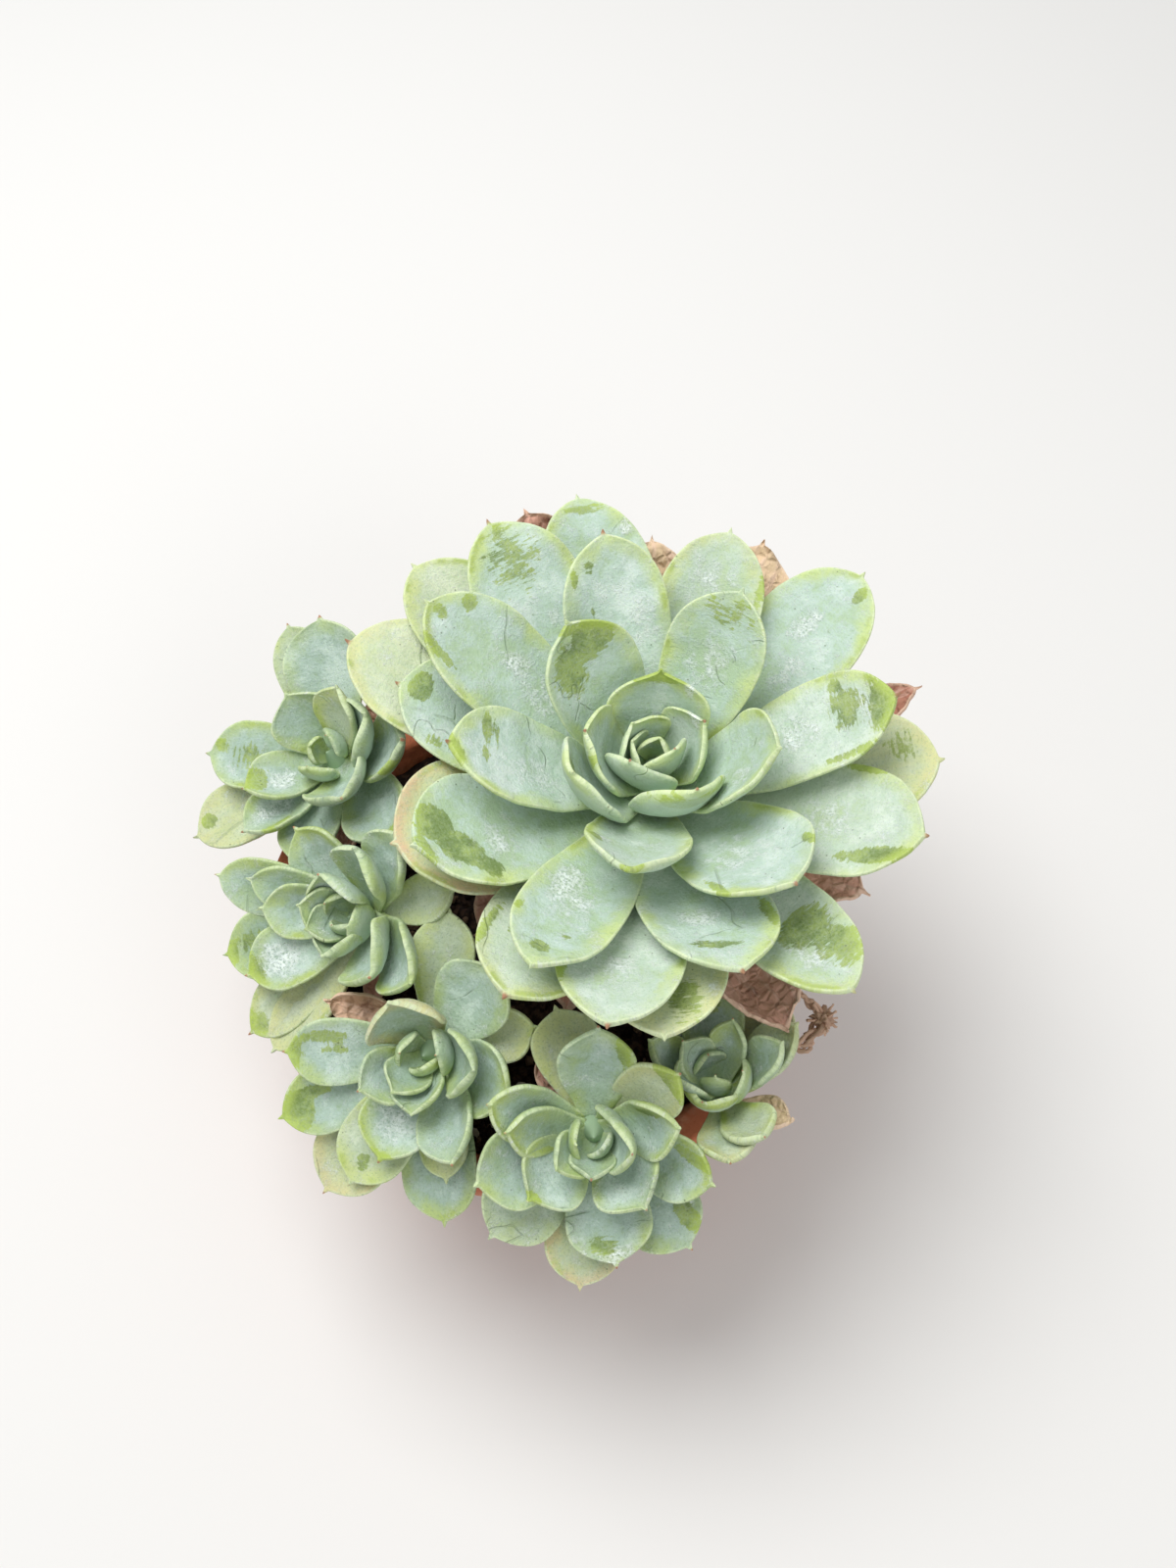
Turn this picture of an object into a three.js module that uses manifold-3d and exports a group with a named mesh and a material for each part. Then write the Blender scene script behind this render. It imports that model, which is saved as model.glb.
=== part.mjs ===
// Potted glaucous echeveria: one large rosette and five offsets round it in a plain clay pot.
// Millimetres, +Z up, origin at the middle of the pot's flat underside.
// Directions are compass ones: degrees clockwise from +Y, seen from above.
import * as THREE from "three";
import { mergeVertices } from "three/addons/utils/BufferGeometryUtils.js";
import Module from "manifold-3d";

const wasm = await Module();
wasm.setup();

// Pot: a plain clay pot with a thick collar and three drain holes.
const POT_HEIGHT = 82;
const POT_BASE_RADIUS = 52;
const POT_CHAMFER = 2;
const POT_INNER_BASE_RADIUS = 46.5;
const POT_FLOOR = 8;
const COLLAR_RADIUS = 75;
const COLLAR_HEIGHT = 20;
const COLLAR_TAPER = 2.5;
const COLLAR_STEP = 2.5;
const RIM_WIDTH = 8;
const LIP_ROUND = 1.5;
const DRAIN_RADIUS = 4.5;
const DRAIN_CIRCLE = 26;
const DRAIN_COUNT = 3;
const POT_SIDES = 36;

// Soil: filled to just under the rim, domed and crumbly.
const CLEARANCE = 0.3;
const SOIL_EDGE_HEIGHT = 74;
const SOIL_DOME = 3.5;
const SOIL_ROUGHNESS = 0.7;
const SOIL_RINGS = 6;
const SOIL_SIDES = 30;

// Stems: rooted well down in the soil, each ending just under its rosette's heart.
const ROOT_DEPTH = 56;
const HEAD_STEM_RADII = [9.5, 8];
const HEAD_HEART = [10.5, 19];
const OFFSET_STEM_RADII = [4, 3.3];
const OFFSET_HEART = [5.2, 9];
const HEART_BELOW_FOOT = 0.25;
const NECK_LENGTH = 5;
const STEM_RINGS = 8;
const SCAR_DEPTH = 0.07;
const HOLE_RINGS = 4;
const HOLE_CLEARANCE = 0.4;

// Leaves of the large rosette: they follow each other at the golden angle, youngest first.
const HEAD_FOOT = [32, 22, 112];
const GOLDEN_ANGLE = 137.5;
const HEAD_FIRST_DIRECTION = 27;

// How a leaf changes with its age in the rosette: [youngest, oldest, reach, power].
const HEAD_GROWTH = {
  length: [0, 80, 14, 1.2],
  width: [0, 34, 6.5, 1.05],
  thickness: [0, 5.2, 8, 1],
  lift: [90, 13, 15, 1.5],
  curl: [28, 6, 9, 1],
  cup: [58, 20, 9, 1],
  footHeight: [14, 0, 12, 1],
  point: [0, 1.6, 6, 1],
  taper: [1.4, 0.62, 8, 1],
};
const OFFSET_GROWTH = {
  thickness: [0, 4.2, 9, 1],
  curl: [24, 6, 9, 1],
  cup: [80, 26, 12, 1],
  footHeight: [7, 0, 14, 1],
  point: [0, 1.5, 8, 1],
  taper: [1.3, 0.75, 12, 1],
};

// Dead leaves of the large rosette, thin and shrunken.
const HEAD_DRY_LENGTH = 66;
const HEAD_DRY_WIDTH = 25;
const HEAD_DRY_LIFT = 6;
const HEAD_DRY_FOOT_HEIGHT = -9.5;
const HEAD_DRY_SPACING = 0.6;
const OFFSET_DRY_FOOT_HEIGHT = -5.5;
const DRY_THICKNESS = 1.1;
const DRY_TAPER = 0.7;

// A leaf's outline and section, as shares of its length, half width or thickness.
const FOOT_WIDTH = 0.36;
const WIDEST_AT = 0.66;
const FOOT_FLARE = 0.8;
const TIP_FULLNESS = 2.7;
const POINT_WIDTH = 0.17;
const POINT_OVERLAP = 0.06;
const FOOT_CUP = 0.45;
const FULL_CUP_AT = 0.6;
const UPPER_SHARE = 0.3;
const TIP_THINNING = 0.3;
const EDGE_THICKNESS = 0.8;

const rad = THREE.MathUtils.degToRad;

// The measures of a leaf of a given age, from a growth table.
function grown(table, age) {
  const measure = ([young, old, reach, power]) => {
    return old + (young - old) * Math.exp(-Math.pow(age / reach, power));
  };
  return Object.fromEntries(Object.entries(table).map(([name, row]) => [name, measure(row)]));
}

// A closed solid through rings of equally many points, with a flat foot and a pointed or flat end.
function loft(rings, tip) {
  const sides = rings[0].length;
  const points = rings.flat();
  const triangles = [];
  for (let ring = 0; ring + 1 < rings.length; ring += 1) {
    for (let side = 0; side < sides; side += 1) {
      const a = ring * sides + side;
      const b = ring * sides + ((side + 1) % sides);
      triangles.push([a, b, a + sides], [b, b + sides, a + sides]);
    }
  }
  const last = (rings.length - 1) * sides;
  for (let side = 1; side + 1 < sides; side += 1) {
    triangles.push([0, side + 1, side]);
    if (!tip) triangles.push([last, last + side, last + side + 1]);
  }
  if (tip) {
    points.push(tip);
    for (let side = 0; side < sides; side += 1) {
      triangles.push([last + side, last + ((side + 1) % sides), points.length - 1]);
    }
  }
  return new wasm.Manifold(
    new wasm.Mesh({
      numProp: 3,
      vertProperties: new Float32Array(points.flatMap((p) => [p.x, p.y, p.z])),
      triVerts: new Uint32Array(triangles.flat()),
    })
  );
}

// A solid from one of three's own closed geometries.
function solidFrom(geometry, place = new THREE.Matrix4()) {
  const bare = geometry.clone().applyMatrix4(place);
  bare.deleteAttribute("normal");
  bare.deleteAttribute("uv");
  const merged = mergeVertices(bare, 1e-4);
  return new wasm.Manifold(
    new wasm.Mesh({
      numProp: 3,
      vertProperties: new Float32Array(merged.attributes.position.array),
      triVerts: new Uint32Array(merged.index.array),
    })
  );
}

// The largest connected body of a joined solid, as a mesh with its name and material.
function meshFrom(name, solid, material) {
  const bodies = solid.decompose();
  bodies.sort((a, b) => b.volume() - a.volume());
  const { vertProperties, triVerts } = bodies[0].getMesh();
  const geometry = new THREE.BufferGeometry();
  geometry.setAttribute("position", new THREE.Float32BufferAttribute(vertProperties, 3));
  geometry.setIndex(new THREE.Uint32BufferAttribute(triVerts, 1));
  geometry.computeVertexNormals();
  const mesh = new THREE.Mesh(geometry, material);
  mesh.name = name;
  return mesh;
}

// Half the width of a leaf at the share s of its length: narrow foot, round end, short point.
function halfWidth(s, leaf) {
  const blade = 1 - leaf.point / leaf.length;
  const u = s / blade;
  let body = 0;
  if (u <= WIDEST_AT) {
    const x = u / WIDEST_AT;
    body = FOOT_WIDTH + (1 - FOOT_WIDTH) * Math.pow(x * x * (3 - 2 * x), FOOT_FLARE);
  } else if (u < 1) {
    body = Math.pow(1 - Math.pow((u - WIDEST_AT) / (1 - WIDEST_AT), TIP_FULLNESS), leaf.taper);
  }
  const neck = blade - POINT_OVERLAP;
  const point = POINT_WIDTH * THREE.MathUtils.clamp(1 - (s - neck) / (1 - neck), 0, 1);
  return (leaf.width / 2) * Math.hypot(body, point);
}

// A point of a leaf in its rosette's frame: s runs from foot to tip, t from edge to edge, and
// face from -1 on the underside to 1 on the upper side.
// The middle line bends from the lift at the foot to the lift at the tip, and the blade is cupped.
function leafPoint(leaf, s, t, face) {
  const start = rad(leaf.lift - leaf.curl);
  const turn = rad(2 * leaf.curl);
  const angle = start + turn * s;
  const along = leaf.footRadius + (leaf.length / turn) * (Math.sin(angle) - Math.sin(start));
  const up = leaf.footHeight - (leaf.length / turn) * (Math.cos(angle) - Math.cos(start));
  const half = halfWidth(s, leaf);
  const cup = rad(leaf.cup) * (FOOT_CUP + (1 - FOOT_CUP) * Math.min(1, s / FULL_CUP_AT) ** 1.5);
  const belly = leaf.thickness * (0.4 + (1.2 * half) / leaf.width) * (1 - TIP_THINNING * s);
  const profile = Math.pow(1 - Math.abs(t) ** 2.6, 0.75);
  const thickness = EDGE_THICKNESS + Math.max(0, belly - EDGE_THICKNESS) * profile;
  const off = (UPPER_SHARE - 0.5 + 0.5 * face) * thickness;
  const swerve = leaf.swerve * leaf.length * s * s;
  const side = (half * Math.sin(cup * t)) / cup + swerve - Math.sin(cup * t) * off;
  const rise = (half * (1 - Math.cos(cup * t))) / cup + Math.cos(cup * t) * off;
  const out = along - rise * Math.sin(angle);
  const height = up + rise * Math.cos(angle);
  const compass = rad(leaf.direction);
  return new THREE.Vector3(
    out * Math.sin(compass) + side * Math.cos(compass),
    out * Math.cos(compass) - side * Math.sin(compass),
    height
  );
}

// Sections round a leaf, as [t, face]: a fleshy leaf is hollow above and keeled below with thin
// margins, and a dry one is a sheet of even thickness.
const FLESHY_SECTION = [[-1, 0], [-0.42, 1], [0.42, 1], [1, 0], [0, -1]];
const DRY_SECTION = [[-1, 1], [0, 1], [1, 1], [1, -1], [0, -1], [-1, -1]];
const HEAD_ROWS = [0, 0.28, 0.55, 0.76, 0.89, 0.955];
const OFFSET_ROWS = [0, 0.38, 0.7, 0.93];
const DRY_ROWS = [0, 0.3, 0.62, 0.88];

function leafSolid(leaf, rows, section) {
  const rings = rows.map((s) => section.map(([t, face]) => leafPoint(leaf, s, t, face)));
  return loft(rings, leafPoint(leaf, 1, 0, 0));
}

// The fleshy heart that a rosette's leaves grow from.
function heartSolid([radius, height]) {
  const profile = [
    new THREE.Vector2(0, -HEART_BELOW_FOOT * height),
    new THREE.Vector2(0.8 * radius, -HEART_BELOW_FOOT * height),
    new THREE.Vector2(radius, 0.05 * height),
    new THREE.Vector2(0.62 * radius, 0.45 * height),
    new THREE.Vector2(0.28 * radius, 0.75 * height),
    new THREE.Vector2(0.1 * radius, 0.93 * height),
    new THREE.Vector2(0, height),
  ];
  return solidFrom(new THREE.LatheGeometry(profile, 12), new THREE.Matrix4().makeRotationX(Math.PI / 2));
}

// Rule for the large rosette's leaf number k, 1 being the youngest.
function headLeaf(k) {
  return {
    ...grown(HEAD_GROWTH, k),
    direction: HEAD_FIRST_DIRECTION - GOLDEN_ANGLE * (k - 1),
    footRadius: THREE.MathUtils.clamp(0.3 * k, 1.5, 7),
    swerve: 0,
  };
}

// How single leaves of the large rosette have grown out of the rule's place, read off the plant:
// [turn, longer, wider, raised, more curled, more cupped, swerve], in degrees and millimetres, the
// last one as a share of the length.
const HEAD_HABITS = {
  1: [0, 10, 9, -2, 0, 40, 0],
  2: [32, 8, 6, -13, 0, 8, 0],
  3: [33, 6, 4, -3, 0, 6, -0.15],
  4: [-24, 4, 6, -8, 0, 4, 0],
  5: [6, 0, 2, -5, 12, -4, 0.2],
  6: [8, 0, 2, -12, 0, 8, 0],
  7: [-11, 2, 3, -11, 8, 4, 0],
  8: [22, 3, 1, -6, 18, 8, -0.14],
  9: [-2, -4, 2, 0, 0, 0, 0],
  10: [12, 2, 1, -2, 18, 8, -0.08],
  11: [15, 2, 2, -3, 0, 4, 0],
  12: [5, 4, 0, 0, 0, 0, 0],
  13: [13, 3, -2, -6, 0, 10, 0],
  14: [-8, 4, -3, 0, 0, 0, 0],
  15: [2, 5, -3, -6, 0, 0, 0],
  16: [20, 4, 2, -5, 0, 0, 0],
  17: [-2, 8, -3, 0, 0, 0, 0.03],
  18: [-4, 12, -6, -9, 0, 0, 0],
  19: [10, 4, -5, 0, 0, 0, 0],
  20: [7, 10, -3, 0, 0, 0, 0],
  21: [11, 1, -1, -3, 0, 0, -0.08],
  22: [-1, 3, -4, 0, 0, 0, 0],
  23: [1, -1, 1, 0, 0, 0, 0],
  24: [6, 1, 0, 0, 0, 0, 0.04],
  25: [0, 11, -1, 0, 0, 0, 0],
  26: [0, 5, -2, 0, 0, 0, 0],
  27: [-5, 5, -2, 0, 0, 0, 0],
  28: [13, -5, -1, 0, 0, 0, 0],
  29: [9, 4, -7, 0, 0, 8, 0],
  30: [-10, 8, -3, 0, 0, 0, -0.06],
  31: [-13, -2, 0, 0, 0, 0, 0],
  32: [6, -5, 0, 0, 0, 0, 0],
  33: [8, 9, -1, 0, 0, 0, -0.05],
  34: [10, -4, -1, 0, 0, 0, 0],
  36: [-4, -11, 7, 0, 0, 0, 0],
  41: [7, 7, 0, 0, 0, 0, 0],
};

function withHabit(leaf, [turn, longer, wider, raised, curled, cupped, swerve]) {
  leaf.direction += turn;
  leaf.length += longer;
  leaf.width += wider;
  leaf.lift += raised;
  leaf.curl += curled;
  leaf.cup += cupped;
  leaf.swerve = swerve;
  return leaf;
}

// The large rosette's dead leaves: they go on along the same spiral, thin, shrunken and lower down.
// [number on the spiral, turn, raised, longer, wider, curl, cup]
const HEAD_DRY_LEAVES = [
  [35, -8, 12, 15, 7, 6, 20],
  [37, -2, 0, -7, -6, 14, 50],
  [38, -3, 15, 24, 10, 6, 20],
  [39, 0, -4, -8, 0, 4, 40],
  [40, 3, 9, 13, -6, 14, 60],
  [42, 4, 4, 4, 4, 14, 50],
  [43, -11, 12, 14, 2, 6, 34],
  [44, 0, -6, -12, 0, -8, 44],
  [46, 0, -14, -18, 0, -10, 46],
  [48, 0, -22, -24, 0, -12, 48],
];

function headDryLeaf([k, turn, raised, longer, wider, curl, cup]) {
  return {
    length: HEAD_DRY_LENGTH + longer,
    width: HEAD_DRY_WIDTH + wider,
    thickness: DRY_THICKNESS,
    lift: HEAD_DRY_LIFT + raised,
    curl,
    cup,
    footRadius: 4,
    footHeight: HEAD_DRY_FOOT_HEIGHT - HEAD_DRY_SPACING * (k - HEAD_DRY_LEAVES[0][0]),
    direction: HEAD_FIRST_DIRECTION - GOLDEN_ANGLE * (k - 1) + turn,
    point: 2,
    taper: DRY_TAPER,
    swerve: 0,
  };
}

// Offsets: foot and lean of each small rosette, where its stem is rooted and bends, and its leaves
// as they grow: [direction, lift, length, width, rank, folded], rank 6 in the heart to 30 outermost,
// folded from 0 for an open leaf to 1 for one that wraps round its neighbours.
// dry: [direction, lift, length, width, curl, cup], the shrivelled leaves left on its stem.
const OFFSETS = [
  {
    foot: [-53, 39.5, 100],
    lean: [25, 245],
    root: [-40, 37],
    bend: [-43, 44, 76],
    leaves: [
      [334, 46, 22, 21, 10, 0],
      [246, 34, 26, 17, 12, 0.2],
      [150, 38, 24, 24, 12, 0.8],
      [35, 50, 23, 17, 12, 0.2],
      [78, 48, 25, 22, 16, 0.9],
      [229, 22, 31, 16, 18, 0.4],
      [0, 20, 38, 26, 22, 0],
      [278, 18, 36, 21, 22, 0],
      [143, 10, 31, 22, 22, 0.5],
      [98, 30, 30, 22, 20, 0.9],
      [249, 8, 44, 21, 28, 0],
      [343, 15, 40, 18, 28, 0],
      [200, 10, 29, 19, 26, 0.2],
    ],
    dry: [
      [50, 30, 34, 13, 20, 60],
      [190, 0, 30, 16, 8, 50],
    ],
  },
  {
    foot: [-41, -8.5, 102],
    lean: [46, 240],
    root: [-24, 3],
    bend: [-23, 4, 78],
    leaves: [
      [255, 66, 15, 12, 6, 0],
      [300, 62, 17, 14, 8, 0],
      [190, 60, 17, 18, 9, 0.8],
      [10, 60, 19, 20, 10, 0.6],
      [285, 40, 27, 16, 14, 0.3],
      [142, 36, 24, 24, 14, 0.8],
      [40, 40, 24, 21, 18, 0.6],
      [250, 32, 34, 19, 18, 0],
      [300, 36, 32, 13, 20, 0.5],
      [130, 22, 30, 20, 20, 0.7],
      [335, 26, 28, 18, 22, 0.3],
      [264, 26, 40, 20, 24, 0],
      [295, 28, 42, 16, 26, 0],
      [234, 20, 43, 18, 28, 0],
      [222, 20, 41, 17, 30, 0],
      [84, -12, 24, 14, 24, 0.3],
      [46, 17, 25, 18, 24, 0.3],
    ],
    dry: [[205, 0, 27, 9, 14, 55]],
  },
  {
    foot: [-23, -43.5, 98],
    lean: [35, 210],
    root: [-15, -30],
    bend: [-15.5, -30, 76],
    leaves: [
      [215, 62, 16, 14, 6, 0],
      [180, 54, 19, 15, 8, 0.2],
      [95, 46, 24, 20, 10, 0.8],
      [245, 50, 21, 16, 11, 0.3],
      [345, 50, 21, 24, 14, 0.6],
      [158, 36, 30, 18, 16, 0.6],
      [205, 28, 28, 20, 16, 0],
      [43, 6, 26, 22, 20, 0],
      [110, 30, 26, 20, 20, 0.2],
      [275, 22, 35, 18, 20, 0],
      [250, 15, 40, 18, 24, 0],
      [8, -8, 32, 18, 26, 0],
      [80, -4, 24, 15, 26, 0.5],
      [175, 12, 29, 14, 26, 0],
      [215, 16, 36, 20, 27, 0],
      [180, 5, 40, 21, 28, 0],
      [222, 9, 43, 22, 30, 0],
    ],
    dry: [
      [296, 14, 33, 12, 18, 60],
      [40, -16, 20, 9, 10, 50],
    ],
  },
  {
    foot: [16.5, -63, 96],
    lean: [33, 180],
    root: [16, -46],
    bend: [16.5, -48.5, 74],
    leaves: [
      [185, 62, 15, 13, 6, 0],
      [240, 58, 17, 13, 8, 0],
      [92, 68, 20, 17, 9, 1],
      [280, 38, 25, 14, 13, 0.5],
      [75, 44, 26, 17, 14, 0.7],
      [230, 36, 23, 20, 14, 0],
      [140, 42, 23, 20, 16, 0.2],
      [292, 33, 29, 16, 20, 0.5],
      [250, 24, 30, 21, 20, 0],
      [2, 26, 28, 20, 20, 0],
      [170, 18, 30, 22, 22, 0],
      [110, 24, 30, 17, 22, 0.2],
      [50, 32, 27, 17, 26, 0.2],
      [185, 5, 36, 20, 28, 0],
      [225, 10, 33, 21, 28, 0],
      [140, 8, 34, 21, 28, 0],
      [342, -8, 28, 18, 30, 0],
    ],
    dry: [[320, -2, 22, 10, 8, 50]],
  },
  {
    foot: [48, -54, 93],
    lean: [12, 330],
    root: [32, -32],
    bend: [38, -40, 87],
    leaves: [
      [245, 55, 18, 13, 6, 0],
      [305, 60, 17, 13, 8, 0],
      [25, 62, 20, 11, 10, 0.4],
      [200, 56, 17, 16, 10, 0.6],
      [290, 48, 23, 13, 14, 0.4],
      [75, 48, 22, 13, 16, 0.8],
      [358, 36, 25, 17, 18, 0],
      [62, 36, 25, 14, 22, 0.8],
      [325, 35, 21, 13, 22, 0],
      [45, 25, 26, 15, 24, 0],
      [20, 24, 30, 14, 26, 0],
      [150, 34, 21, 15, 24, 0.6],
      [175, 24, 21, 15, 26, 0.2],
    ],
    dry: [[112, 18, 20, 12, 22, 60]],
  },
];
const BUD_LEAVES = 3;
const FOLD_CURL = 16;
const FOLD_CUP = 26;

function offsetLeaf([direction, lift, length, width, rank, folded]) {
  const leaf = {
    ...grown(OFFSET_GROWTH, rank),
    direction,
    lift,
    length,
    width,
    footRadius: Math.min(4, 0.16 * rank),
    swerve: 0,
  };
  leaf.curl += FOLD_CURL * folded;
  leaf.cup += FOLD_CUP * folded;
  return leaf;
}

// The closed leaves in the middle of an offset, the youngest first.
function budLeaf(k, direction) {
  return {
    direction: direction - GOLDEN_ANGLE * (BUD_LEAVES + 1 - k),
    lift: 92 - 6 * k,
    length: 9 + 2 * k,
    width: 7 + 1.7 * k,
    thickness: 2.2,
    curl: 40,
    cup: 58 - 6 * k,
    footRadius: 0.4 + 0.7 * k,
    footHeight: 5 - 0.8 * k,
    point: 0.8,
    taper: 1.15,
    swerve: 0,
  };
}

function offsetDryLeaf([direction, lift, length, width, curl, cup]) {
  return {
    direction,
    lift,
    length,
    width,
    thickness: DRY_THICKNESS,
    curl,
    cup,
    footRadius: 1.2,
    footHeight: OFFSET_DRY_FOOT_HEIGHT,
    point: 1.5,
    taper: DRY_TAPER,
    swerve: 0,
  };
}

// The turn that leans an upright axis by an angle towards a compass direction.
function leanTurn([angle, direction]) {
  const across = new THREE.Vector3(-Math.cos(rad(direction)), Math.sin(rad(direction)), 0);
  return new THREE.Quaternion().setFromAxisAngle(across, rad(angle));
}

// A round stem along a curve, its rings marked by leaf scars.
function stemSolid(curve, [footRadius, topRadius], sides, rings, scars = SCAR_DEPTH) {
  const frames = curve.computeFrenetFrames(rings, false);
  const rows = [];
  for (let i = 0; i <= rings; i += 1) {
    const scar = i % 2 === 0 ? 1 : 1 - scars;
    const radius = THREE.MathUtils.lerp(footRadius, topRadius, i / rings) * scar;
    const centre = curve.getPointAt(i / rings);
    const ring = [];
    for (let side = 0; side < sides; side += 1) {
      const angle = (2 * Math.PI * side) / sides;
      const point = centre.clone();
      point.addScaledVector(frames.normals[i], radius * Math.cos(angle));
      point.addScaledVector(frames.binormals[i], radius * Math.sin(angle));
      ring.push(point);
    }
    rows.push(ring);
  }
  return loft(rows);
}

// The plain hole that a stem stands in: a little wider and deeper than the stem.
function holeSolid(curve, [footRadius, topRadius], sides) {
  const radii = [footRadius + HOLE_CLEARANCE, topRadius + HOLE_CLEARANCE];
  return stemSolid(curve, radii, sides, HOLE_RINGS, 0);
}

// Old flower stalk: a withered, twisted remnant with a knob and one side twig.
const STALK_RADII = [1.4, 1.0];
const STALK_KNOB_RADIUS = 3;
const STALK_KNOB = [76, -33, 91.5];
const STALK_PATH = [
  [48, -18, 58],
  [51, -19, 76],
  [57, -20, 92],
  [63, -26, 97],
  [69, -27, 95],
  [75, -31, 92],
];
const TWIG_PATH = [
  [76, -33, 91],
  [73, -37, 90],
  [69, -40, 88.5],
  [65, -37.5, 88],
];
const curveThrough = (path) => new THREE.CatmullRomCurve3(path.map((p) => new THREE.Vector3(...p)));

function stalkSolid() {
  const knob = new THREE.IcosahedronGeometry(STALK_KNOB_RADIUS, 0);
  const place = new THREE.Matrix4().makeTranslation(...STALK_KNOB);
  return wasm.Manifold.union([
    stemSolid(curveThrough(STALK_PATH), STALK_RADII, 6, 14),
    stemSolid(curveThrough(TWIG_PATH), STALK_RADII, 6, 8),
    solidFrom(knob, place),
  ]);
}

// Clay pot, turned on a wheel: one profile from the middle of its underside to that of its floor.
function potSolid() {
  const underCollar = COLLAR_RADIUS - COLLAR_TAPER - COLLAR_STEP;
  const inner = COLLAR_RADIUS - RIM_WIDTH;
  const profile = [
    [0, 0],
    [POT_BASE_RADIUS - POT_CHAMFER, 0],
    [POT_BASE_RADIUS, POT_CHAMFER],
    [underCollar, POT_HEIGHT - COLLAR_HEIGHT],
    [COLLAR_RADIUS - COLLAR_TAPER, POT_HEIGHT - COLLAR_HEIGHT],
    [COLLAR_RADIUS, POT_HEIGHT - LIP_ROUND],
    [COLLAR_RADIUS - LIP_ROUND, POT_HEIGHT],
    [inner + LIP_ROUND, POT_HEIGHT],
    [inner, POT_HEIGHT - LIP_ROUND],
    [POT_INNER_BASE_RADIUS, POT_FLOOR],
    [0, POT_FLOOR],
  ].map(([r, z]) => new THREE.Vector2(r, z));
  const upright = new THREE.Matrix4().makeRotationX(Math.PI / 2);
  const drains = [];
  for (let i = 0; i < DRAIN_COUNT; i += 1) {
    const angle = (2 * Math.PI * i) / DRAIN_COUNT;
    const hole = new THREE.CylinderGeometry(DRAIN_RADIUS, DRAIN_RADIUS, 3 * POT_FLOOR, 12);
    const place = new THREE.Matrix4().makeTranslation(
      DRAIN_CIRCLE * Math.cos(angle),
      DRAIN_CIRCLE * Math.sin(angle),
      0
    );
    drains.push(solidFrom(hole, place.multiply(upright)));
  }
  return solidFrom(new THREE.LatheGeometry(profile, POT_SIDES), upright).subtract(
    wasm.Manifold.union(drains)
  );
}

// Soil, up against the pot's wall, with a plain hole for each stem.
function potInnerRadius(z) {
  const inner = COLLAR_RADIUS - RIM_WIDTH;
  const share = (z - POT_FLOOR) / (POT_HEIGHT - LIP_ROUND - POT_FLOOR);
  return THREE.MathUtils.lerp(POT_INNER_BASE_RADIUS, inner, share);
}

function soilPoint(radius, angle) {
  const x = radius * Math.cos(angle);
  const y = radius * Math.sin(angle);
  const dome = SOIL_DOME * (1 - (radius / COLLAR_RADIUS) ** 2);
  const lumps = Math.sin(0.31 * x + 0.9) * Math.cos(0.27 * y) + 0.6 * Math.sin(0.52 * y + 0.4 * x);
  return new THREE.Vector3(x, y, SOIL_EDGE_HEIGHT + dome + SOIL_ROUGHNESS * lumps);
}

function soilSolid(holes) {
  const lower = POT_FLOOR + CLEARANCE;
  const narrow = 2 * CLEARANCE;
  const edge = potInnerRadius(SOIL_EDGE_HEIGHT) - narrow;
  const angles = Array.from({ length: SOIL_SIDES }, (_, i) => (2 * Math.PI * i) / SOIL_SIDES);
  const bottomRadius = potInnerRadius(lower) - narrow;
  const rings = [
    angles.map((a) => new THREE.Vector3(bottomRadius * Math.cos(a), bottomRadius * Math.sin(a), lower)),
  ];
  for (let i = 0; i < SOIL_RINGS; i += 1) {
    rings.push(angles.map((a) => soilPoint(edge * (1 - i / SOIL_RINGS), a)));
  }
  return loft(rings, soilPoint(0, 0)).subtract(wasm.Manifold.union(holes));
}

const plain = (color, roughness) => new THREE.MeshStandardMaterial({ color, roughness, metalness: 0 });
const leafGreen = plain(0xa3bda6, 0.6);
const dryBrown = plain(0xa07058, 0.85);
const clay = plain(0xb4694a, 0.9);
const earth = plain(0x4a382c, 1);

const plant = new THREE.Group();
const holes = [];

function addRosette(name, heart, leaves, foot, lean) {
  const mesh = meshFrom(`rosette_${name}`, wasm.Manifold.union([heart, ...leaves]), leafGreen);
  mesh.position.set(...foot);
  mesh.quaternion.copy(leanTurn(lean));
  plant.add(mesh);
}

// A stem from its root to just under the heart, with the dead leaves that still cling to it.
function addStem(name, { root, bend, foot, lean, dry }, heart, radii, sides) {
  const turn = leanTurn(lean);
  const below = -(HEART_BELOW_FOOT * heart[1] + CLEARANCE);
  const footPoint = new THREE.Vector3(...foot);
  const top = new THREE.Vector3(0, 0, below).applyQuaternion(turn).add(footPoint);
  const neck = new THREE.Vector3(0, 0, below - NECK_LENGTH).applyQuaternion(turn).add(footPoint);
  const route = (depth) =>
    new THREE.CubicBezierCurve3(new THREE.Vector3(...root, depth), new THREE.Vector3(...bend), neck, top);
  const place = new THREE.Matrix4().compose(footPoint, turn, new THREE.Vector3(1, 1, 1));
  const clinging = dry.map((leaf) => leafSolid(leaf, DRY_ROWS, DRY_SECTION).transform(place.elements));
  const bare = stemSolid(route(ROOT_DEPTH), radii, sides, STEM_RINGS);
  plant.add(meshFrom(`stem_${name}`, wasm.Manifold.union([bare, ...clinging]), dryBrown));
  holes.push(holeSolid(route(ROOT_DEPTH - CLEARANCE), radii, sides));
}

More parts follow.
